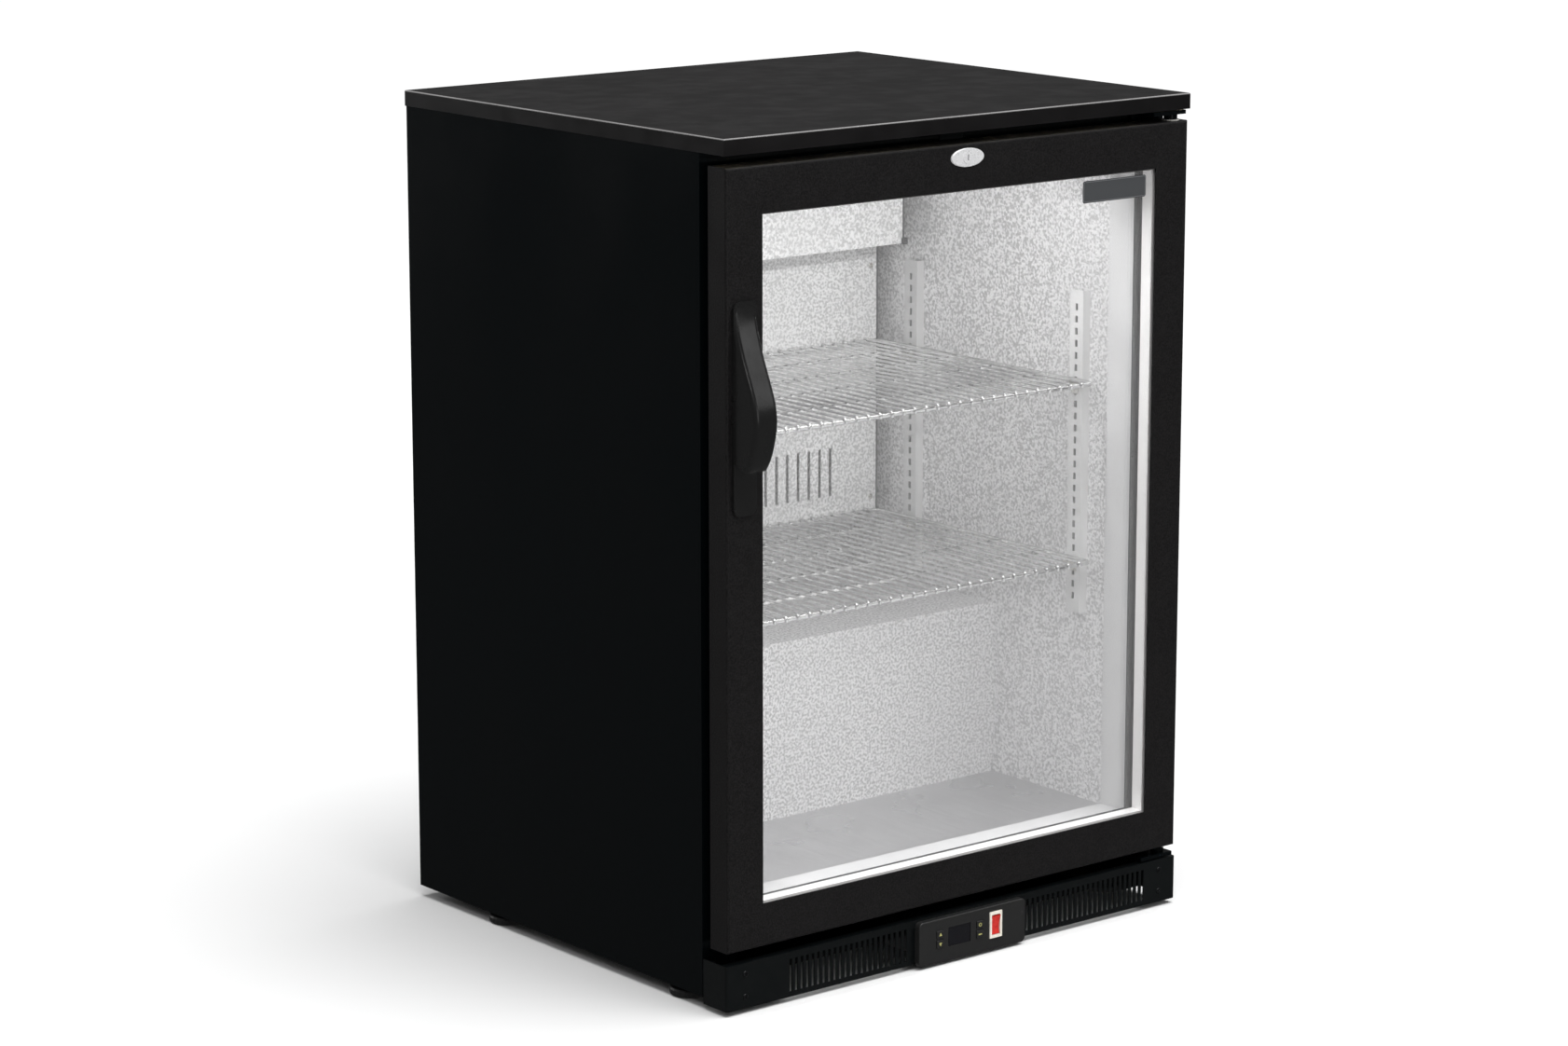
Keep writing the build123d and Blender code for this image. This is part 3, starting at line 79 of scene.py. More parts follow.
def grain(material, size, kind="Noise", stretch=(1, 1, 1), detail=2.0):
    """A pattern on Object coordinates, whose features are about size metres across.

    The place is divided by size and multiplied by stretch, so a large stretch gives short features.
    """
    nodes, links = material.node_tree.nodes, material.node_tree.links
    place = nodes.new("ShaderNodeTexCoord")
    scaled = nodes.new("ShaderNodeMapping")
    scaled.inputs["Scale"].default_value = [share / size for share in stretch]
    links.new(place.outputs["Object"], scaled.inputs["Vector"])
    texture = nodes.new("ShaderNodeTex" + kind)
    texture.inputs["Scale"].default_value = 1.0
    if kind == "Noise":
        texture.inputs["Detail"].default_value = detail
    links.new(scaled.outputs["Vector"], texture.inputs["Vector"])
    return texture.outputs[0]


def spread(material, source, low, high, start=0.35, end=0.65):
    """The source's values from start to end, carried onto the range from low to high."""
    nodes, links = material.node_tree.nodes, material.node_tree.links
    if isinstance(low, tuple):
        ramp = nodes.new("ShaderNodeValToRGB")
        for stop, place, colour in zip(ramp.color_ramp.elements, (start, end), (low, high)):
            stop.position, stop.color = place, (*colour, 1)
        links.new(source, ramp.inputs["Fac"])
        return ramp.outputs["Color"]
    band = nodes.new("ShaderNodeMapRange")
    for socket, value in zip(("From Min", "From Max", "To Min", "To Max"), (start, end, low, high)):
        band.inputs[socket].default_value = value
    links.new(source, band.inputs["Value"])
    return band.outputs["Result"]


def feed(material, socket, source):
    """Joins a worked-out value to one of the shader's sockets."""
    material.node_tree.links.new(source, shader_of(material).inputs[socket])


def vary(material, socket, low, high, *size_and_kind, **pattern):
    """Gives a socket values from low to high, which follow a grain."""
    source = grain(material, *size_and_kind, **pattern)
    feed(material, socket, spread(material, source, low, high))


def relief(material, source, depth):
    """Raises the surface by depth metres where the source is 1, on top of any relief before it."""
    nodes, links = material.node_tree.nodes, material.node_tree.links
    bump = nodes.new("ShaderNodeBump")
    bump.inputs["Distance"].default_value = depth
    bump.inputs["Strength"].default_value = 1.0
    links.new(source, bump.inputs["Height"])
    normal = shader_of(material).inputs["Normal"]
    if normal.is_linked:
        links.new(normal.links[0].from_socket, bump.inputs["Normal"])
    links.new(bump.outputs["Normal"], normal)


def rim_share(material, low, high, width):
    """1 along the upper rim of the box from low to high, falling to 0 over width metres.

    The distance from a pair of sides is half the box's size less the distance from its middle.
    The distance from the rim is the larger of two: that from the top, and the smaller of those
    from the sides.
    """
    nodes, links = material.node_tree.nodes, material.node_tree.links

    def maths(operation, first, second):
        node = nodes.new("ShaderNodeMath")
        node.operation = operation
        for socket, value in zip(node.inputs, (first, second)):
            if isinstance(value, (int, float)):
                socket.default_value = value
            else:
                links.new(value, socket)
        return node.outputs[0]

    place = nodes.new("ShaderNodeTexCoord")
    centred = nodes.new("ShaderNodeMapping")
    middle = [-(a + b) / 2 for a, b in zip(low, high)]
    centred.inputs["Location"].default_value = (middle[0], middle[1], -high[2])
    links.new(place.outputs["Object"], centred.inputs["Vector"])
    split = nodes.new("ShaderNodeSeparateXYZ")
    links.new(centred.outputs["Vector"], split.inputs["Vector"])
    sides = []
    for axis in (0, 1):
        away = maths("ABSOLUTE", split.outputs[axis], 0.0)
        sides.append(maths("SUBTRACT", (high[axis] - low[axis]) / 2, away))
    below = maths("ABSOLUTE", split.outputs[2], 0.0)
    gap = maths("MAXIMUM", below, maths("MINIMUM", *sides))
    return spread(material, gap, 1.0, 0.0, 0.0, width)


def layered(material, factor, under, over):
    """The under colour where the factor is 0 and the over colour where it is 1."""
    mix = material.node_tree.nodes.new("ShaderNodeMix")
    mix.data_type = "RGBA"
    material.node_tree.links.new(factor, mix.inputs["Factor"])
    for socket, colour in (("A", under), ("B", over)):
        if isinstance(colour, tuple):
            mix.inputs[socket].default_value = (*colour, 1)
        else:
            material.node_tree.links.new(colour, mix.inputs[socket])
    return mix.outputs["Result"]


def dress(material, *names):
    """Puts a material in every material slot of these CAD nodes."""
    for name in names:
        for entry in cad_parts[name].material_slots:
            entry.material = material


RIM_HIGHLIGHT_WIDTH = 1.5 * MM
worktop_coat = new_finish("worktop_coat", (0.006, 0.0053, 0.0056), roughness=0.34, specular=0.3)
# painted highlight: the colour turns pale along the worktop's upper rim, over a band 1.5 mm wide
painted_rim_highlight = rim_share(worktop_coat, *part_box("worktop"), RIM_HIGHLIGHT_WIDTH)
mottle = grain(worktop_coat, 0.09, detail=4)
mottled = spread(worktop_coat, mottle, (0.0032, 0.0028, 0.0030), (0.0060, 0.0052, 0.0056))
mottle_and_painted_highlight = layered(worktop_coat, painted_rim_highlight, mottled, (0.46, 0.45, 0.45))
feed(worktop_coat, "Base Color", mottle_and_painted_highlight)
vary(worktop_coat, "Roughness", 0.28, 0.40, 0.03)
relief(worktop_coat, grain(worktop_coat, 1.1 * MM, detail=1), 0.06 * MM)
dress(worktop_coat, "worktop")

# ======== cabinet shell ========
# The sides are single bent sheets with a glossy black coat over galvanised steel. The top deck,
# the underfloor sheet, the base pan and the hinges have the same coat. Rigid foam fills every
# wall between the sheets.

black_coat = new_finish("black_coat", (0.0012, 0.0022, 0.0027), roughness=0.2, specular=0.15)
smear = grain(black_coat, 0.16, detail=5)
feed(black_coat, "Roughness", spread(black_coat, smear, 0.15, 0.26))
relief(black_coat, grain(black_coat, 2.6 * MM, detail=1), 0.02 * MM)
relief(black_coat, grain(black_coat, 0.14, detail=2), 0.35 * MM)
dress(black_coat, "side_panel_left", "side_panel_right", "top_deck", "underfloor_panel")
dress(black_coat, "base_pan", "top_hinge", "bottom_hinge", "lock_keeper")

foam = new_finish("foam", (0.80, 0.70, 0.46), roughness=0.9, specular=0.2)
vary(foam, "Base Color", (0.70, 0.58, 0.36), (0.84, 0.76, 0.52), 0.02)
relief(foam, grain(foam, 1.5 * MM, "Voronoi"), 0.4 * MM)
dress(foam, "insulation")

# Back panel, fan shroud and motor shells: bare galvanised steel, with the flat
# crystals that the zinc makes as it sets, each a slightly different grey.
galvanised = new_finish("galvanised", (0.5, 0.51, 0.52), metallic=0.55, roughness=0.42)
crystals = grain(galvanised, 9 * MM, "Voronoi")
zinc_tone = spread(galvanised, crystals, (0.40, 0.41, 0.42), (0.60, 0.61, 0.62), 0.1, 0.8)
feed(galvanised, "Base Color", zinc_tone)
vary(galvanised, "Roughness", 0.34, 0.52, 12 * MM)
relief(galvanised, grain(galvanised, 0.8 * MM), 0.02 * MM)
dress(galvanised, "back_panel", "fan_shroud", "condenser_fan_motor", "evaporator_fan_motor")

# ======== liner ========
# The walls, back and step are aluminium sheet rolled with a leather-like emboss a few
# millimetres across. The floor is the same alloy left smooth, and shows its rolling lines.

embossed = new_finish("embossed_aluminium", (0.72, 0.72, 0.725), metallic=0.45, roughness=0.4)
pebbles = grain(embossed, 2.7 * MM, detail=0.5)
# painted shade: the base colour is darker where the emboss's pebbles sink, on the same pattern as
# the relief
painted_pebble_shade = spread(embossed, pebbles, (0.50, 0.495, 0.50), (0.93, 0.925, 0.93), 0.36, 0.62)
tone = spread(embossed, grain(embossed, 0.16, stretch=(1, 1, 0.35), detail=2), 0.0, 0.3)
feed(embossed, "Base Color", layered(embossed, tone, painted_pebble_shade, (0.66, 0.66, 0.67)))
feed(embossed, "Roughness", spread(embossed, pebbles, 0.46, 0.32, 0.3, 0.7))
relief(embossed, pebbles, 0.8 * MM)
dress(embossed, "liner_sides_and_top", "liner_back", "liner_step")

floor_sheet = new_finish("rolled_aluminium", (0.5, 0.5, 0.5), metallic=0.85, roughness=0.33)
streaks = grain(floor_sheet, 1.2 * MM, stretch=(1, 0.02, 1), detail=3)
rolled_tone = spread(floor_sheet, streaks, (0.44, 0.44, 0.45), (0.56, 0.56, 0.57), 0.2, 0.8)
feed(floor_sheet, "Base Color", rolled_tone)
vary(floor_sheet, "Roughness", 0.26, 0.42, 0.08)
relief(floor_sheet, streaks, 0.03 * MM)
dress(floor_sheet, "liner_floor")

# Breaker strips and drain pan: plain extruded and moulded plastic, smooth and pale.
pale_plastic = new_finish("pale_plastic", (0.60, 0.60, 0.605), roughness=0.38)
vary(pale_plastic, "Base Color", (0.56, 0.56, 0.565), (0.64, 0.64, 0.645), 0.1)
relief(pale_plastic, grain(pale_plastic, 0.8 * MM), 0.02 * MM)
dress(pale_plastic, "breaker_strips", "drain_pan")

# ======== shelf supports and shelves ========
# Four white-coated channels with a column of slots carry sprung steel clips, four to a shelf.
# Each shelf is welded wire, chromed: the close wires are bent down over the front rod.

white_coat = new_finish("white_coat", (0.58, 0.58, 0.58), roughness=0.34)
vary(white_coat, "Base Color", (0.54, 0.54, 0.54), (0.62, 0.62, 0.62), 0.07)
relief(white_coat, grain(white_coat, 1.6 * MM, detail=1), 0.03 * MM)
dress(white_coat, "pilasters")

plated = new_finish("plated_steel", (0.70, 0.69, 0.66), metallic=1.0, roughness=0.24)
vary(plated, "Base Color", (0.60, 0.58, 0.54), (0.76, 0.75, 0.72), 6 * MM)
vary(plated, "Roughness", 0.18, 0.34, 2 * MM)
dress(plated, "shelf_clips", "closer_bar")


def grid_faces(rows, columns, wrap_rows=False, wrap_columns=False):
    """The four-sided faces of a grid of points, wrapped round in either direction if asked."""
    row = np.arange(rows if wrap_rows else rows - 1)
    column = np.arange(columns if wrap_columns else columns - 1)
    row, column = np.meshgrid(row, column, indexing="ij")
    next_row, next_column = (row + 1) % rows, (column + 1) % columns
    corners = (row, column), (row, next_column), (next_row, next_column), (next_row, column)
    return np.stack([r * columns + c for r, c in corners], -1).reshape(-1, 4)


MERGE_WITHIN = 1e-6


def make_piece(name, points, faces, material, body, finish_slot, crease=40):
    """A piece from an array of points in metres and an array of faces, riding on a body.

    Points that meet are merged, which closes seams and poles, and all faces are turned outwards.
    Edges sharper than crease degrees stay crisp.
    """
    mesh = bpy.data.meshes.new(name)
    mesh.from_pydata(np.asarray(points).reshape(-1, 3).tolist(), [], np.asarray(faces).tolist())
    shape = bmesh.new()
    shape.from_mesh(mesh)
    bmesh.ops.remove_doubles(shape, verts=shape.verts, dist=MERGE_WITHIN)
    bmesh.ops.recalc_face_normals(shape, faces=shape.faces)
    shape.to_mesh(mesh)
    shape.free()
    mesh.shade_smooth()
    mesh.set_sharp_from_angle(angle=math.radians(crease))
    mesh.materials.append(material)
    piece = bpy.data.objects.new(name, mesh)
    bpy.context.scene.collection.objects.link(piece)
    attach(piece, body)
    return piece


def joined(parts):
    """One array of points and one of faces from several (points, faces) pairs."""
    points, faces, count = [], [], 0
    for some_points, some_faces in parts:
        some_points = np.asarray(some_points).reshape(-1, 3)
        points.append(some_points)
        faces.append(np.asarray(some_faces) + count)
        count += len(some_points)
    return np.concatenate(points), np.concatenate(faces)


BAR_SIDES = 8
ALONG_X = 0.9            # above this share of X, a path takes its side from Z and not from X


def round_bars(paths, radius):
    """Bars of one radius along paths, an array of paths by points by three.

    At each point a circle stands across the path: centre + radius (cos a side + sin a rise).
    A circle of no radius closes each end.
    """
    paths = np.asarray(paths, float)
    along = np.gradient(paths, axis=1)
    along /= np.linalg.norm(along, axis=2, keepdims=True)
    reference = np.where(np.abs(along[..., :1]) > ALONG_X, (0.0, 0.0, 1.0), (1.0, 0.0, 0.0))
    side = np.cross(along, reference)
    side /= np.linalg.norm(side, axis=2, keepdims=True)
    rise = np.cross(side, along)
    paths, side, rise = (np.concatenate([a[:, :1], a, a[:, -1:]], 1) for a in (paths, side, rise))
    radii = np.full(paths.shape[1], radius)
    radii[[0, -1]] = 0
    angle = np.linspace(0, 2 * np.pi, BAR_SIDES, endpoint=False)
    across = np.cos(angle)[:, None] * side[:, :, None] + np.sin(angle)[:, None] * rise[:, :, None]
    points = paths[:, :, None] + radii[:, None, None] * across
    faces = grid_faces(paths.shape[1], BAR_SIDES, wrap_columns=True)
    step = paths.shape[1] * BAR_SIDES
    return points.reshape(-1, 3), np.concatenate([faces + step * k for k in range(len(paths))])


shelf_chrome = new_finish("shelf_chrome", (0.66, 0.66, 0.66), metallic=1.0, roughness=0.1)
vary(shelf_chrome, "Roughness", 0.06, 0.16, 4 * MM)
vary(shelf_chrome, "Base Color", (0.58, 0.58, 0.58), (0.74, 0.74, 0.74), 9 * MM)

FRAME_ROD, CROSS_ROD, WIRE = 5 * MM, 4 * MM, 2.8 * MM
WIRE_PITCH, WIRE_COUNT, CROSS_COUNT = 15 * MM, 31, 4
FRAME_BEND, WELD_SINK = 7 * MM, 0.4 * MM
WIRE_OVERHANG, WRAP_START, WRAP_DEGREES = 1 * MM, 3 * MM, (90, 205)
BEND_STEPS, ROD_SIDES, WRAP_STEPS = 6, 12, 9
WIRE_RISE = FRAME_ROD / 2 + WIRE / 2 - WELD_SINK


def rod_loop(left, right, front, rear, centre_z):
    """One closed rod, as points and faces, with a quarter bend at each corner of a rectangle.

    The loop lies flat. At each of its points a circle stands across it: the point plus
    (rod / 2) cos a along the outward direction, and centre_z + (rod / 2) sin a for the height.
    """
    quarter = np.linspace(0, np.pi / 2, BEND_STEPS)
    corners = (right, rear), (left, rear), (left, front), (right, front)
    loop = []
    for number, (corner_x, corner_y) in enumerate(corners):
        turn = quarter + number * np.pi / 2
        bend_x = corner_x - np.sign(corner_x) * FRAME_BEND + FRAME_BEND * np.cos(turn)
        inward_y = FRAME_BEND if corner_y == front else -FRAME_BEND
        bend_y = corner_y + inward_y + FRAME_BEND * np.sin(turn)
        loop.append(np.stack([bend_x, bend_y], -1))
    loop = np.concatenate(loop)
    outward = np.roll(loop, -1, 0) - np.roll(loop, 1, 0)
    outward = np.stack([outward[:, 1], -outward[:, 0]], -1)
    outward /= np.linalg.norm(outward, axis=1, keepdims=True)
    angle = np.linspace(0, 2 * np.pi, ROD_SIDES, endpoint=False)
    across = loop[:, None] + outward[:, None] * (FRAME_ROD / 2 * np.cos(angle))[None, :, None]
    height = np.broadcast_to(centre_z + FRAME_ROD / 2 * np.sin(angle), across.shape[:2])
    faces = grid_faces(len(loop), ROD_SIDES, wrap_rows=True, wrap_columns=True)
    return np.dstack([across, height]), faces


for body in ("lower_shelf", "upper_shelf"):
    low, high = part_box(body)
    centre_z = low.z + FRAME_ROD / 2
    left, right = low.x + FRAME_ROD / 2, high.x - FRAME_ROD / 2
    front, rear = low.y + FRAME_ROD / 2, high.y - FRAME_ROD / 2
    # cross rods lie across the frame, under the wires
    share = (np.arange(CROSS_COUNT) + 1) / (CROSS_COUNT + 1)
    cross_y = front + (rear - front) * share
    cross = np.zeros((CROSS_COUNT, 2, 3))
    cross[..., 0], cross[..., 1] = (left, right), cross_y[:, None]
    cross[..., 2] = centre_z + WIRE_RISE - WIRE / 2 - CROSS_ROD / 2 + WELD_SINK
    # each wire runs straight from behind the rear rod, and then follows an arc round the front rod
    wrap = np.radians(np.linspace(*WRAP_DEGREES, WRAP_STEPS))
    straight_y = [rear + WIRE_OVERHANG, (front + rear) / 2, front + WRAP_START]
    wire_y = np.concatenate([straight_y, front + WIRE_RISE * np.cos(wrap)])
    wire_z = np.concatenate([[WIRE_RISE] * 3, WIRE_RISE * np.sin(wrap)]) + centre_z
    wire_x = WIRE_PITCH * (np.arange(WIRE_COUNT) - (WIRE_COUNT - 1) / 2)
    wires = np.zeros((WIRE_COUNT, len(wire_y), 3))
    wires[..., 0], wires[..., 1], wires[..., 2] = wire_x[:, None], wire_y, wire_z
    parts = [
        rod_loop(left, right, front, rear, centre_z),
        round_bars(cross, CROSS_ROD / 2),
        round_bars(wires, WIRE / 2),
    ]
    shelf = make_piece(body + "_wires", *joined(parts), shelf_chrome, body, "shelf_chrome")
    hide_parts(body)

# ======== evaporator space ========
# The folded fan box and the flat cover below it are embossed sheet with a pale coat, and the
# cover has a row of air slots. They hide the fan, its motor and the finned evaporator over its
# drain pan.

cover_coat = new_finish("cover_coat", (0.80, 0.80, 0.80), roughness=0.36)
pebbles = grain(cover_coat, 2.7 * MM, detail=0.5)
# painted shade: the coat's colour is darker where the emboss's pebbles sink, on the same pattern as
# the relief
painted_pebble_shade = spread(cover_coat, pebbles, (0.52, 0.52, 0.52), (0.90, 0.90, 0.90), 0.36, 0.62)
tone = spread(cover_coat, grain(cover_coat, 0.12, stretch=(1, 1, 0.3), detail=2), 0.0, 0.35)
feed(cover_coat, "Base Color", layered(cover_coat, tone, painted_pebble_shade, (0.64, 0.64, 0.64)))
relief(cover_coat, pebbles, 0.5 * MM)
dress(cover_coat, "evaporator_cover", "fan_box")

fin_metal = new_finish("fin_aluminium", (0.80, 0.80, 0.80), metallic=1.0, roughness=0.4)
vary(fin_metal, "Roughness", 0.3, 0.5, 3 * MM, stretch=(1, 1, 0.1))
dress(fin_metal, "evaporator")

# Black strips along the right edges of the fan box and of the cover stand for the shadow in the gap
# to the side wall: painted shade. A moulded block sits at the box's lower corner.
CORNER_POINTS = 9        # points on each rounded corner of a plate
CORNER_STEP = 100 / 9    # degrees from one of them to the next
CLOSED = 9 * MM          # an inset this large leaves a narrow plate's ring with no size


def rounded_plate(x, z, corner, rings):
    """A plate with rounded corners that faces -Y; each ring is (inset, y), from back to front.

    A ring's outline is the corner centres plus (corner - inset) (cos a, sin a), pulled in straight
    where the inset is larger than the corner. A last ring of no size closes the front and the back.
    """
    sides = 4 * CORNER_POINTS
    quadrant, number = np.divmod(np.arange(sides), CORNER_POINTS)
    angle = np.radians(90 * quadrant + CORNER_STEP * number)
    sign_x, sign_z = np.array([1, -1, -1, 1])[quadrant], np.array([1, 1, -1, -1])[quadrant]
    middle = (x[0] + x[1]) / 2, (z[0] + z[1]) / 2
    half = (x[1] - x[0]) / 2 - corner, (z[1] - z[0]) / 2 - corner
    layers = []
    for inset, y in rings:
        reach = max(corner - inset, 0)
        shrink = max(inset - corner, 0)
        px = middle[0] + sign_x * max(half[0] - shrink, 0) + reach * np.cos(angle)
        pz = middle[1] + sign_z * max(half[1] - shrink, 0) + reach * np.sin(angle)
        layers.append(np.stack([px, np.full(sides, y), pz], -1))
    return np.array(layers), grid_faces(len(layers), sides, wrap_columns=True)


black_plastic = new_finish("black_plastic", (0.010, 0.010, 0.011), roughness=0.4)
vary(black_plastic, "Roughness", 0.34, 0.46, 5 * MM)
relief(black_plastic, grain(black_plastic, 0.5 * MM), 0.015 * MM)
dress(black_plastic, "evaporator_fan", "condenser_fan", "evaporating_tray", "cable_gland")
SHADE_STRIP_WIDTH, SHADE_STRIP_LAP, SHADE_STRIP_DEPTH, SHADE_STRIP_PROUD = 2.2 * MM, 0.5 * MM, 4 * MM, 0.5 * MM
SHADE_STRIP_CORNER, SHADE_STRIP_CHAMFER = 0.8 * MM, 0.3 * MM
BLOCK_SIZE, BLOCK_LAP_X, BLOCK_LAP_Z = 7 * MM, 2 * MM, 1 * MM
BLOCK_DEPTH, BLOCK_PROUD = 6 * MM, 3 * MM
BLOCK_CORNER, BLOCK_CHAMFER, BLOCK_SHOULDER = 1.2 * MM, 0.8 * MM, 0.6 * MM
SHARP_CREASE = 30


def closed_rings(back, shoulder, front, chamfer):
    """Rings of a plate from its back to its front, with a chamfer between shoulder and front."""
    return [(CLOSED, back), (0, back), (0, shoulder), (chamfer, front), (CLOSED, front)]


# painted shade: a black strip on each right edge, in place of the shadowed gap beside it
for sheet in ("fan_box", "evaporator_cover"):
    low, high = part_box(sheet)
    edge_x = high.x - SHADE_STRIP_LAP, high.x - SHADE_STRIP_LAP + SHADE_STRIP_WIDTH
    front = low.y - SHADE_STRIP_PROUD
    rings = closed_rings(low.y + SHADE_STRIP_DEPTH, front + SHADE_STRIP_CHAMFER, front, SHADE_STRIP_CHAMFER)
    top = high.z if sheet == "fan_box" else min(high.z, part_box("fan_box")[0].z)
    channel = rounded_plate(edge_x, (low.z, top), SHADE_STRIP_CORNER, rings)
    name = sheet + "_shade_strip"
    make_piece(name, *channel, black_plastic, "cabinet", "black_plastic", SHARP_CREASE)
low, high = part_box("fan_box")
front = low.y - BLOCK_PROUD
rings = closed_rings(low.y + BLOCK_DEPTH, front + BLOCK_SHOULDER, front, BLOCK_CHAMFER)
start_x, start_z = high.x - BLOCK_LAP_X, low.z - BLOCK_LAP_Z
block_x, block_z = (start_x, start_x + BLOCK_SIZE), (start_z, start_z + BLOCK_SIZE)
block = rounded_plate(block_x, block_z, BLOCK_CORNER, rings)
name = "fan_box_corner_block"
make_piece(name, *block, black_plastic, "cabinet", "black_plastic", SHARP_CREASE)

# Lamp: a strip of light-emitting diodes behind a frosted lens, under the ceiling.
lamp_lens = new_finish("lamp_lens", (0.9, 0.9, 0.9), roughness=0.5)
shader_of(lamp_lens).inputs["Emission Color"].default_value = (1.0, 0.98, 0.95, 1)
shader_of(lamp_lens).inputs["Emission Strength"].default_value = 2.5
vary(lamp_lens, "Base Color", (0.82, 0.82, 0.80), (0.92, 0.92, 0.92), 8 * MM, stretch=(1, 0.1, 0.1))
dress(lamp_lens, "led_lamp")

# ======== machine space ========
# A black pot compressor stands on the base pan beside the dark condenser, its fan and the
# copper pipes. A slotted galvanised sheet closes the back, with a bush for the mains lead.

pot_coat = new_finish("pot_coat", (0.012, 0.012, 0.013), roughness=0.3)
vary(pot_coat, "Roughness", 0.24, 0.42, 0.02)
relief(pot_coat, grain(pot_coat, 2 * MM), 0.05 * MM)
dress(pot_coat, "compressor", "condenser")

copper = new_finish("copper", (0.72, 0.36, 0.22), metallic=1.0, roughness=0.32)
vary(copper, "Base Color", (0.52, 0.24, 0.14), (0.80, 0.44, 0.28), 0.02, detail=4)
dress(copper, "refrigerant_pipes")
dress(galvanised, "rear_grille")

# ======== feet ========
# Each foot is a ribbed moulded pad on a zinc-plated threaded stem that screws into the base.

foot_plastic = new_finish("foot_plastic", (0.012, 0.012, 0.012), roughness=0.5)
vary(foot_plastic, "Roughness", 0.42, 0.6, 4 * MM)
relief(foot_plastic, grain(foot_plastic, 0.6 * MM), 0.03 * MM)
THREAD_PITCH, THREAD_DEPTH, STEM_RADIUS, STEPS_PER_TURN = 1.5 * MM, 0.45 * MM, 5 * MM, 6
PAD_TOP, COLLAR_RADIUS, COLLAR_TOP, COLLAR_BORE = 10 * MM, 9 * MM, 13 * MM, 6 * MM
STEM_START = PAD_TOP + 2 * MM
RIB_COUNT, RIB_DEPTH, RIB_LOW, RIB_HIGH = 24, 0.5 * MM, 2 * MM, 8 * MM
RIB_GAP = -0.2           # below this, the cosine that marks the ribs leaves a groove
PAD_SIDES, STEM_SIDES, STEM_CREASE = 96, 24, 60
# the pad's outline, as millimetres out from its full radius and up, and the collar's above it
PAD_OUTLINE = np.array([(-4, 0), (-1, 1), (0, 2.8), (0, 6.5), (-1.2, 8.2), (-6, 9.4)]) * MM
COLLAR = [(COLLAR_RADIUS, PAD_TOP), (COLLAR_RADIUS, COLLAR_TOP), (COLLAR_BORE, COLLAR_TOP)]
COLLAR.append((0, COLLAR_TOP))


def turned(profile, centre, sides, wobble):
    """A surface turned about +Z: r cos a and r sin a across the axis, and the height along it.

    The profile is pairs of radius and height, and wobble adds to the radius at (a, height).
    """
    profile = np.asarray(profile, float)
    angle = np.linspace(0, 2 * np.pi, sides, endpoint=False)
    radius = np.repeat(profile[:, :1], sides, 1)
    height = np.repeat(profile[:, 1:], sides, 1)
    radius = np.where(radius > 0, radius + wobble(angle[None, :], height), 0)
    points = np.stack([radius * np.cos(angle), radius * np.sin(angle), height], -1)
    return points + np.asarray(centre), grid_faces(len(profile), sides, wrap_columns=True)


def grooves(angle, height):
    """A groove of even depth wherever cos (count a) is low, over the pad's middle height."""
    inside = (height > RIB_LOW) & (height < RIB_HIGH)
    return -RIB_DEPTH * (np.cos(RIB_COUNT * angle) < RIB_GAP) * inside


def thread(angle, height):
    """A thread: the depth rises and falls once for each pitch of height less share of a turn."""
    share = (height / THREAD_PITCH - angle / (2 * np.pi)) % 1
    return -THREAD_DEPTH * np.abs(2 * share - 1)


for name in ("foot_front_left", "foot_front_right", "foot_rear_left", "foot_rear_right"):
    low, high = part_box(name)
    centre = ((low.x + high.x) / 2, (low.y + high.y) / 2, 0)
    pad_radius = (high.x - low.x) / 2
    pad = [[(0, 0)], (pad_radius, 0) + PAD_OUTLINE, COLLAR]
    surface = turned(np.concatenate(pad), centre, PAD_SIDES, grooves)
    moulded = make_piece(name + "_pad", *surface, foot_plastic, name, "foot_rubber", SHARP_CREASE)
    step = THREAD_PITCH / STEPS_PER_TURN
    rows = np.arange(0, (high.z - STEM_START) / step) * step + STEM_START
    radii = np.full(len(rows) + 2, STEM_RADIUS)
    radii[[0, -1]] = 0
    stem = np.stack([radii, np.pad(rows, 1, mode="edge")], -1)
    surface = turned(stem, centre, STEM_SIDES, thread)
    threaded = make_piece(name + "_stem", *surface, plated, name, "plated_steel", STEM_CREASE)
    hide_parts(name)
    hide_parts(name)

# ======== kick grille and controls ========
# The kick grille is one black moulding with two bands of upright slots, held by two screws at
# each end. The control cover stands proud of it, with four keys, a dark display and a switch.

black_green = (0.0022, 0.0034, 0.0038)
grille_plastic = new_finish("grille_plastic", black_green, roughness=0.38, specular=0.35)
vary(grille_plastic, "Roughness", 0.3, 0.44, 6 * MM)
relief(grille_plastic, grain(grille_plastic, 0.7 * MM), 0.02 * MM)
dress(grille_plastic, "grille", "door_liner")

bezel_plastic = new_finish("bezel_plastic", (0.017, 0.017, 0.017), roughness=0.36, specular=0.4)
vary(bezel_plastic, "Roughness", 0.28, 0.42, 3 * MM)
relief(bezel_plastic, grain(bezel_plastic, 0.4 * MM), 0.02 * MM)
dress(bezel_plastic, "controller_bezel")

display_black = new_finish("display_black", (0.006, 0.006, 0.008), roughness=0.12)
vary(display_black, "Roughness", 0.08, 0.2, 9 * MM)
dress(display_black, "controller_body")

key_plastic = new_finish("key_plastic", (0.014, 0.014, 0.014), roughness=0.45)
vary(key_plastic, "Roughness", 0.38, 0.52, 2 * MM)
keys = ("key_upper_left", "key_lower_left", "key_upper_right", "key_lower_right")
dress(key_plastic, *keys)

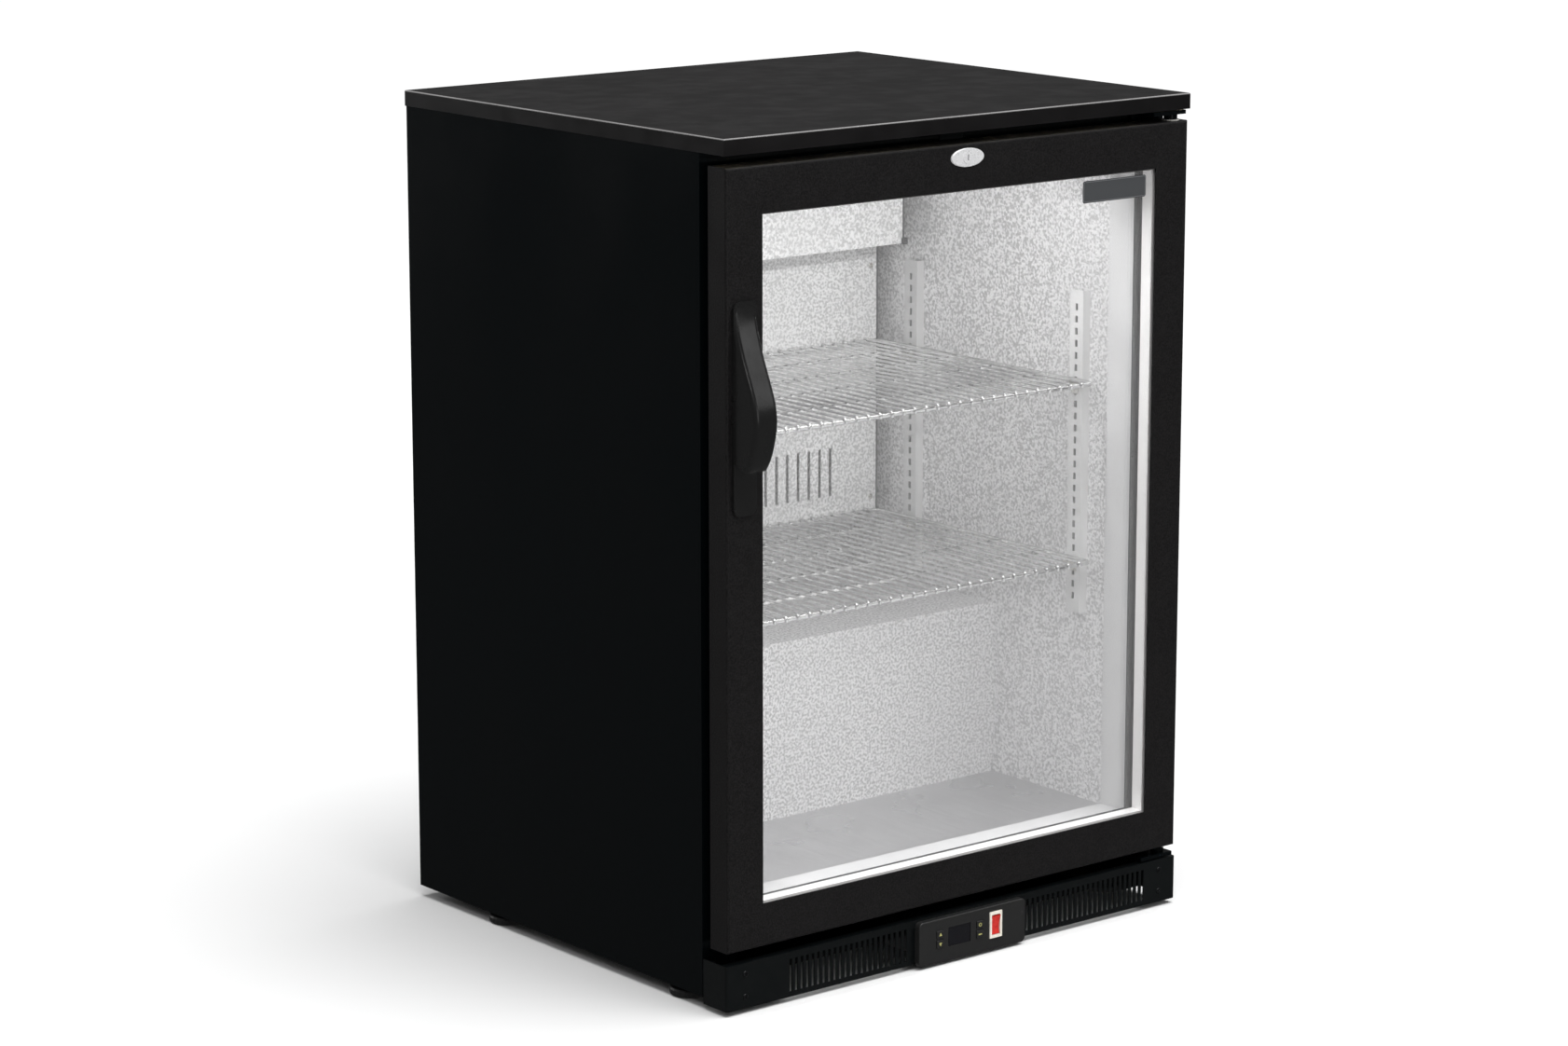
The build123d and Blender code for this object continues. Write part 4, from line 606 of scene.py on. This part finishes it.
# Key marks: generic raised symbols, moulded in yellow-green plastic a tenth of a millimetre proud.
mark_paint = new_finish("mark_paint", (0.42, 0.40, 0.13), roughness=0.45)
vary(mark_paint, "Base Color", (0.32, 0.31, 0.09), (0.50, 0.48, 0.18), 1 * MM)
CIRCLE_SIDES = 24
outline_angle = np.linspace(0, 2 * np.pi, CIRCLE_SIDES, endpoint=False)
circle = np.stack([np.cos(outline_angle), np.sin(outline_angle)], -1)
up_arrow = np.array([(-1.0, -0.7), (1.0, -0.7), (0, 1.0)])
bar = np.array([(-1.1, -0.35), (1.1, -0.35), (1.1, 0.35), (-1.1, 0.35)])
# each mark is an outline in halves of its size, and the share of it that is a hole
marks = {
    "key_upper_left": (up_arrow, 0.0),
    "key_lower_left": (up_arrow[::-1] * (1, -1), 0.0),
    "key_upper_right": (circle, 0.6),
    "key_lower_right": (bar, 0.0),
}
MARK_HALF, MARK_PROUD, MARK_ROOT = 2.0 * MM, 0.12 * MM, 0.2 * MM
for key, (outline, hole) in marks.items():
    low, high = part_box(key)
    middle = np.array([(low.x + high.x) / 2, (low.z + high.z) / 2])
    root, face = low.y + MARK_ROOT, low.y - MARK_PROUD
    layers = []
    for size, y in ((hole, root), (1.0, root), (1.0, face), (hole, face)):
        flat = middle + outline * size * MARK_HALF
        layers.append(np.stack([flat[:, 0], np.full(len(flat), y), flat[:, 1]], -1))
    faces = grid_faces(len(layers), len(outline), wrap_rows=hole > 0, wrap_columns=True)
    name = key + "_mark"
    make_piece(name, np.array(layers), faces, mark_paint, key, "key_plastic", SHARP_CREASE)

# painted highlight: the rocker's frame is pale cream, in place of bright edges round the red rocker
switch_frame = new_finish("switch_frame", (0.80, 0.77, 0.68), roughness=0.35)
vary(switch_frame, "Base Color", (0.76, 0.72, 0.62), (0.83, 0.80, 0.72), 8 * MM)
dress(switch_frame, "rocker_housing")

switch_red = new_finish("switch_red", (0.62, 0.02, 0.015), roughness=0.25, coat=0.4)
vary(switch_red, "Base Color", (0.52, 0.015, 0.01), (0.68, 0.03, 0.02), 6 * MM)
dress(switch_red, "rocker")

# ======== door ========
# The frame is folded and welded steel with a fine-textured black coat, rebated from behind for
# a sealed unit of two toughened panes. A bright aluminium spacer shows along the glass edge.

door_coat = new_finish("door_coat", (0.0095, 0.009, 0.0092), roughness=0.4, specular=0.2)
vary(door_coat, "Roughness", 0.30, 0.44, 0.05, detail=4)
speckle = grain(door_coat, 1.6 * MM, detail=2)
speckled = spread(door_coat, speckle, (0.0050, 0.0047, 0.0049), (0.0130, 0.0122, 0.0125))
feed(door_coat, "Base Color", speckled)
relief(door_coat, speckle, 0.12 * MM)
dress(door_coat, "door_frame")

pane = new_finish("pane", (0.985, 0.985, 0.985), roughness=0.0)
shader_of(pane).inputs["Transmission Weight"].default_value = 1.0
shader_of(pane).inputs["IOR"].default_value = 1.5
dress(pane, "glass_panes")
# no shadow from the glass, so that the panels light the inside
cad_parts["glass_panes"].visible_shadow = False

spacer_metal = new_finish("spacer_aluminium", (0.86, 0.85, 0.845), metallic=0.3, roughness=0.38)
vary(spacer_metal, "Roughness", 0.28, 0.4, 1 * MM)
dress(spacer_metal, "glass_spacer")

nylon = new_finish("nylon", (0.74, 0.73, 0.69), roughness=0.4)
vary(nylon, "Roughness", 0.34, 0.48, 3 * MM)
dress(nylon, "hinge_bushes")

# Gasket: an extruded soft bellows with a magnet pocket, mitred and welded at its four corners.
gasket_rubber = new_finish("gasket_rubber", (0.014, 0.016, 0.016), roughness=0.42)
vary(gasket_rubber, "Roughness", 0.36, 0.5, 7 * MM)
GASKET_WIDTH, GASKET_CREASE = 16 * MM, 25
# The profile's points are millimetres in from its outer edge and back from its front. The outer
# side has the folds. On the inner side, measured from the other edge, a flap takes their place
# and hides the gap.
outer_side = [(0, 0), (0, 2.4), (1.2, 3.2), (3.4, 3.8), (3.4, 4.6), (1.6, 5.6)]
outer_side += [(1.6, 6.4), (3.0, 7.2), (1.2, 7.8), (0.8, 9.0), (1.4, 10.6), (2.5, 11.0)]
inner_side = [(2.5, 11.0), (1.4, 10.6), (0.8, 9.0), (-3.5, 8.0), (-5.2, 6.6), (-5.4, 4.8)]
inner_side += [(-4.2, 3.6), (-1.0, 3.0), (0, 2.4), (0, 0)]
outer_side, inner_side = np.array(outer_side) * MM, np.array(inner_side) * MM
inner_side[:, 0] = GASKET_WIDTH - inner_side[:, 0]
inset, behind = np.concatenate([outer_side, inner_side]).T
low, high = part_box("gasket")
# at each corner the profile stands on the mitre: inset is added both across and up
mitres = [(low.x, low.z, 1, 1), (high.x, low.z, -1, 1)]
mitres += [(high.x, high.z, -1, -1), (low.x, high.z, 1, -1)]
points = [
    np.stack([x + across * inset, low.y + behind, z + up * inset], -1)
    for x, z, across, up in mitres
]
faces = grid_faces(len(mitres), len(inset), wrap_rows=True, wrap_columns=True)
name = "gasket_bellows"
bellows = make_piece(name, points, faces, gasket_rubber, "door", "gasket_rubber", GASKET_CREASE)
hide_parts("gasket")

# Badge: a plain dark plate in the upper hinge corner of the glass, with a thin pale border.

badge_face = new_finish("badge_face", (0.055, 0.058, 0.062), roughness=0.35)
vary(badge_face, "Roughness", 0.3, 0.42, 5 * MM)
badge_border = new_finish("badge_border", (0.30, 0.31, 0.32), metallic=0.6, roughness=0.35)
vary(badge_border, "Roughness", 0.3, 0.42, 2 * MM)
glass_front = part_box("glass_panes")[0].y
BADGE_X, BADGE_Z, BADGE_CORNER = (155 * MM, 241 * MM), (750 * MM, 772 * MM), 2.5 * MM
BADGE_THICK, BADGE_CHAMFER, BADGE_CLOSED = 0.45 * MM, 0.2 * MM, 20 * MM
BADGE_SHOULDER = 0.3 * MM
BORDER_INSET, BORDER_WIDTH, BORDER_PROUD = 0.9 * MM, 0.5 * MM, 0.15 * MM
badge_front = glass_front - BADGE_THICK
plate_rings = [
    (BADGE_CLOSED, glass_front),
    (0, glass_front),
    (0, glass_front - BADGE_SHOULDER),
    (BADGE_CHAMFER, badge_front),
    (BADGE_CLOSED, badge_front),
]
plate = rounded_plate(BADGE_X, BADGE_Z, BADGE_CORNER, plate_rings)
make_piece("badge_plate", *plate, badge_face, "door", "bezel_plastic", SHARP_CREASE)
border_rings = [
    (BORDER_INSET, badge_front),
    (BORDER_INSET, badge_front - BORDER_PROUD),
    (BORDER_INSET + BORDER_WIDTH, badge_front - BORDER_PROUD),
    (BORDER_INSET + BORDER_WIDTH, badge_front),
]
border = rounded_plate(BADGE_X, BADGE_Z, BADGE_CORNER, border_rings)
make_piece("badge_border", *border, badge_border, "door", "bare_aluminium", SHARP_CREASE)

# Handle: a glossy moulded bow grip on a base plate, closed on its outer side.
near_black = (0.0085, 0.0085, 0.0085)
handle_plastic = new_finish("handle_plastic", near_black, roughness=0.24, specular=0.45)
vary(handle_plastic, "Roughness", 0.18, 0.28, 0.02)
relief(handle_plastic, grain(handle_plastic, 0.9 * MM), 0.02 * MM)
dress(handle_plastic, "handle")

# Lock: a chromed oval escutcheon with a keyed cylinder, in the middle of the top rail.
chrome = new_finish("chrome", (0.86, 0.86, 0.87), metallic=0.35, roughness=0.26)
vary(chrome, "Roughness", 0.2, 0.34, 6 * MM)
dress(chrome, "lock_barrel", "lock_cylinder")

# ======== screws ========
# Pan-head screws with a cross recess hold the kick grille, the evaporator cover and the rear
# grille, four in each. The grille's own are blackened, and the others are zinc plated.

blackened = new_finish("blackened_steel", (0.010, 0.011, 0.012), metallic=0.6, roughness=0.3)
vary(blackened, "Roughness", 0.22, 0.4, 1.5 * MM)
HEAD_RADIUS, HEAD_HEIGHT, HEAD_RINGS, HEAD_SIDES, HEAD_CREASE = 3.2 * MM, 1.0 * MM, 26, 64, 50
RECESS_HALF, RECESS_REACH, RECESS_DEPTH = 0.42 * MM, 1.9 * MM, 0.55 * MM
RECESS_SLOPE, RECESS_END_SLOPE = 0.12 * MM, 0.2 * MM
NEAR_FACE = 3 * MM       # screws whose points are this close to a face belong to it
cad_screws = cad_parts["screws"].data
flat_list = np.empty(3 * len(cad_screws.vertices))
cad_screws.vertices.foreach_get("co", flat_list)
screw_points = flat_list.reshape(-1, 3)


def screw_head():
    """A pan head about its own middle: across, up and height, each an array of rings by sides.

    The height is that of a flattened dome, root of (1 - share of the radius to the fourth), less
    the recess: a cross whose two arms are RECESS_HALF from the middle line and whose walls slope.
    The first ring has no size, and closes the head behind.
    """
    share = np.linspace(1, 0, HEAD_RINGS)[:, None]
    angle = np.linspace(0, 2 * np.pi, HEAD_SIDES, endpoint=False)[None, :]
    radius = share * HEAD_RADIUS
    across, up = radius * np.cos(angle), radius * np.sin(angle)
    dome = HEAD_HEIGHT * np.clip(1 - share ** 4, 0, 1) ** 0.5
    from_arm = RECESS_HALF - np.minimum(np.abs(across), np.abs(up))
    into = np.clip(from_arm / RECESS_SLOPE + 0.5, 0, 1)
    into = into * np.clip((RECESS_REACH - radius) / RECESS_END_SLOPE + 0.5, 0, 1)
    height = dome - RECESS_DEPTH * into
    return (np.concatenate([0 * rings[:1], rings]) for rings in (across, up, height))


across, up, height = screw_head()
heads = {
    "grille": (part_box("grille")[0].y, -1, blackened),
    "cover": (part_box("evaporator_cover")[0].y, -1, plated),
    "rear": (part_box("rear_grille")[1].y, 1, plated),
}
for place, (face_y, outward, metal) in heads.items():
    near = screw_points[np.abs(screw_points[:, 1] - face_y) < NEAR_FACE]
    halfway = (near[:, 2].min() + near[:, 2].max()) / 2
    group = []
    for right in (False, True):
        for upper in (False, True):
            one = near[((near[:, 0] > 0) == right) & ((near[:, 2] > halfway) == upper)]
            centre_x, _, centre_z = (one.min(0) + one.max(0)) / 2
            points = [centre_x + across, face_y + outward * height, centre_z + up]
            group.append((np.stack(points, -1), grid_faces(len(up), HEAD_SIDES, wrap_columns=True)))
    name = place + "_screws"
    screws = make_piece(name, *joined(group), metal, "cabinet", "plated_steel", HEAD_CREASE)
    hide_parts("screws")

# ======== studio ========
# A plain pale floor under soft light from large panels, and the viewpoint.

FLOOR_HALF = 30
floor_mesh = bpy.data.meshes.new("studio_floor")
floor_corners = FLOOR_HALF * np.array([(-1, -1, 0), (1, -1, 0), (1, 1, 0), (-1, 1, 0)])
floor_mesh.from_pydata(floor_corners.tolist(), [], [(0, 1, 2, 3)])
studio_floor = bpy.data.objects.new("studio_floor", floor_mesh)
bpy.context.scene.collection.objects.link(studio_floor)
floor_paint = new_finish("floor_paint", (0.9, 0.9, 0.9), roughness=0.7, specular=0.2)
floor_mesh.materials.append(floor_paint)
# left out of glossy reflections, so that the near-black sides stay dark
studio_floor.visible_glossy = False
bpy.context.scene.view_settings.view_transform = "Standard"


def light(name, kind, place, target, power, **settings):
    """A lamp at a place, facing a target point."""
    lamp = bpy.data.lights.new(name, kind)
    lamp.energy = power
    for setting, value in settings.items():
        setattr(lamp, setting, value)
    source = bpy.data.objects.new(name, lamp)
    source.location = place
    backward = source.location - Vector(target)
    source.rotation_mode = "QUATERNION"
    source.rotation_quaternion = backward.to_track_quat("Z", "Y")
    bpy.context.scene.collection.objects.link(source)


def panel(name, place, target, power, width, height):
    """A rectangular lamp, width by height metres."""
    light(name, "AREA", place, target, power, shape="RECTANGLE", size=width, size_y=height)


panel("key_panel", (1.6, -3.4, 2.2), (0, 0, 0.5), 17, 2.4, 1.6)
panel("front_panel", (-0.6, -4.0, 0.9), (0, 0, 0.45), 9, 1.6, 1.4)
panel("side_panel", (-2.6, -2.2, 2.6), (-0.2, -0.2, 0.6), 14, 0.9, 0.9)
panel("rear_panel", (-1.2, 3.6, 1.5), (0, 0, 0.4), 26, 2.4, 1.8)
light("ceiling_sun", "SUN", (0.3, -0.6, 3.0), (0, 0, 0.5), 3.6, angle=1.0)
panel("cabinet_lamp", (0, -0.15, 0.775), (0, 0.1, 0.2), 0.95, 0.38, 0.02)

# The camera sees a white backdrop, and everything else is lit by a faint one.
SEEN_STRENGTH, FELT_STRENGTH = 1.0, 0.11
world = bpy.data.worlds.new("studio_world")
bpy.context.scene.world = world
world.use_nodes = True
tree = world.node_tree
tree.nodes.clear()
seen, felt = (tree.nodes.new("ShaderNodeBackground") for _ in range(2))
for backdrop, strength in ((seen, SEEN_STRENGTH), (felt, FELT_STRENGTH)):
    backdrop.inputs["Color"].default_value = (1, 1, 1, 1)
    backdrop.inputs["Strength"].default_value = strength
path, blend = tree.nodes.new("ShaderNodeLightPath"), tree.nodes.new("ShaderNodeMixShader")
output = tree.nodes.new("ShaderNodeOutputWorld")
tree.links.new(path.outputs["Is Camera Ray"], blend.inputs["Fac"])
tree.links.new(felt.outputs["Background"], blend.inputs[1])
tree.links.new(seen.outputs["Background"], blend.inputs[2])
tree.links.new(blend.outputs["Shader"], output.inputs["Surface"])

LENS, SENSOR_WIDTH = 99.6, 36
CAMERA_PLACE, CAMERA_FACING = (-2.773, -3.3652, 1.3457), (0.61753, 0.75787, -0.21043)
camera_data = bpy.data.cameras.new("camera")
camera_data.lens, camera_data.sensor_width = LENS, SENSOR_WIDTH
camera_data.clip_end = 100
camera = bpy.data.objects.new("camera", camera_data)
camera.location = CAMERA_PLACE
camera.rotation_mode = "QUATERNION"
camera.rotation_quaternion = Vector(CAMERA_FACING).to_track_quat("-Z", "Y")
bpy.context.scene.collection.objects.link(camera)
bpy.context.scene.camera = camera
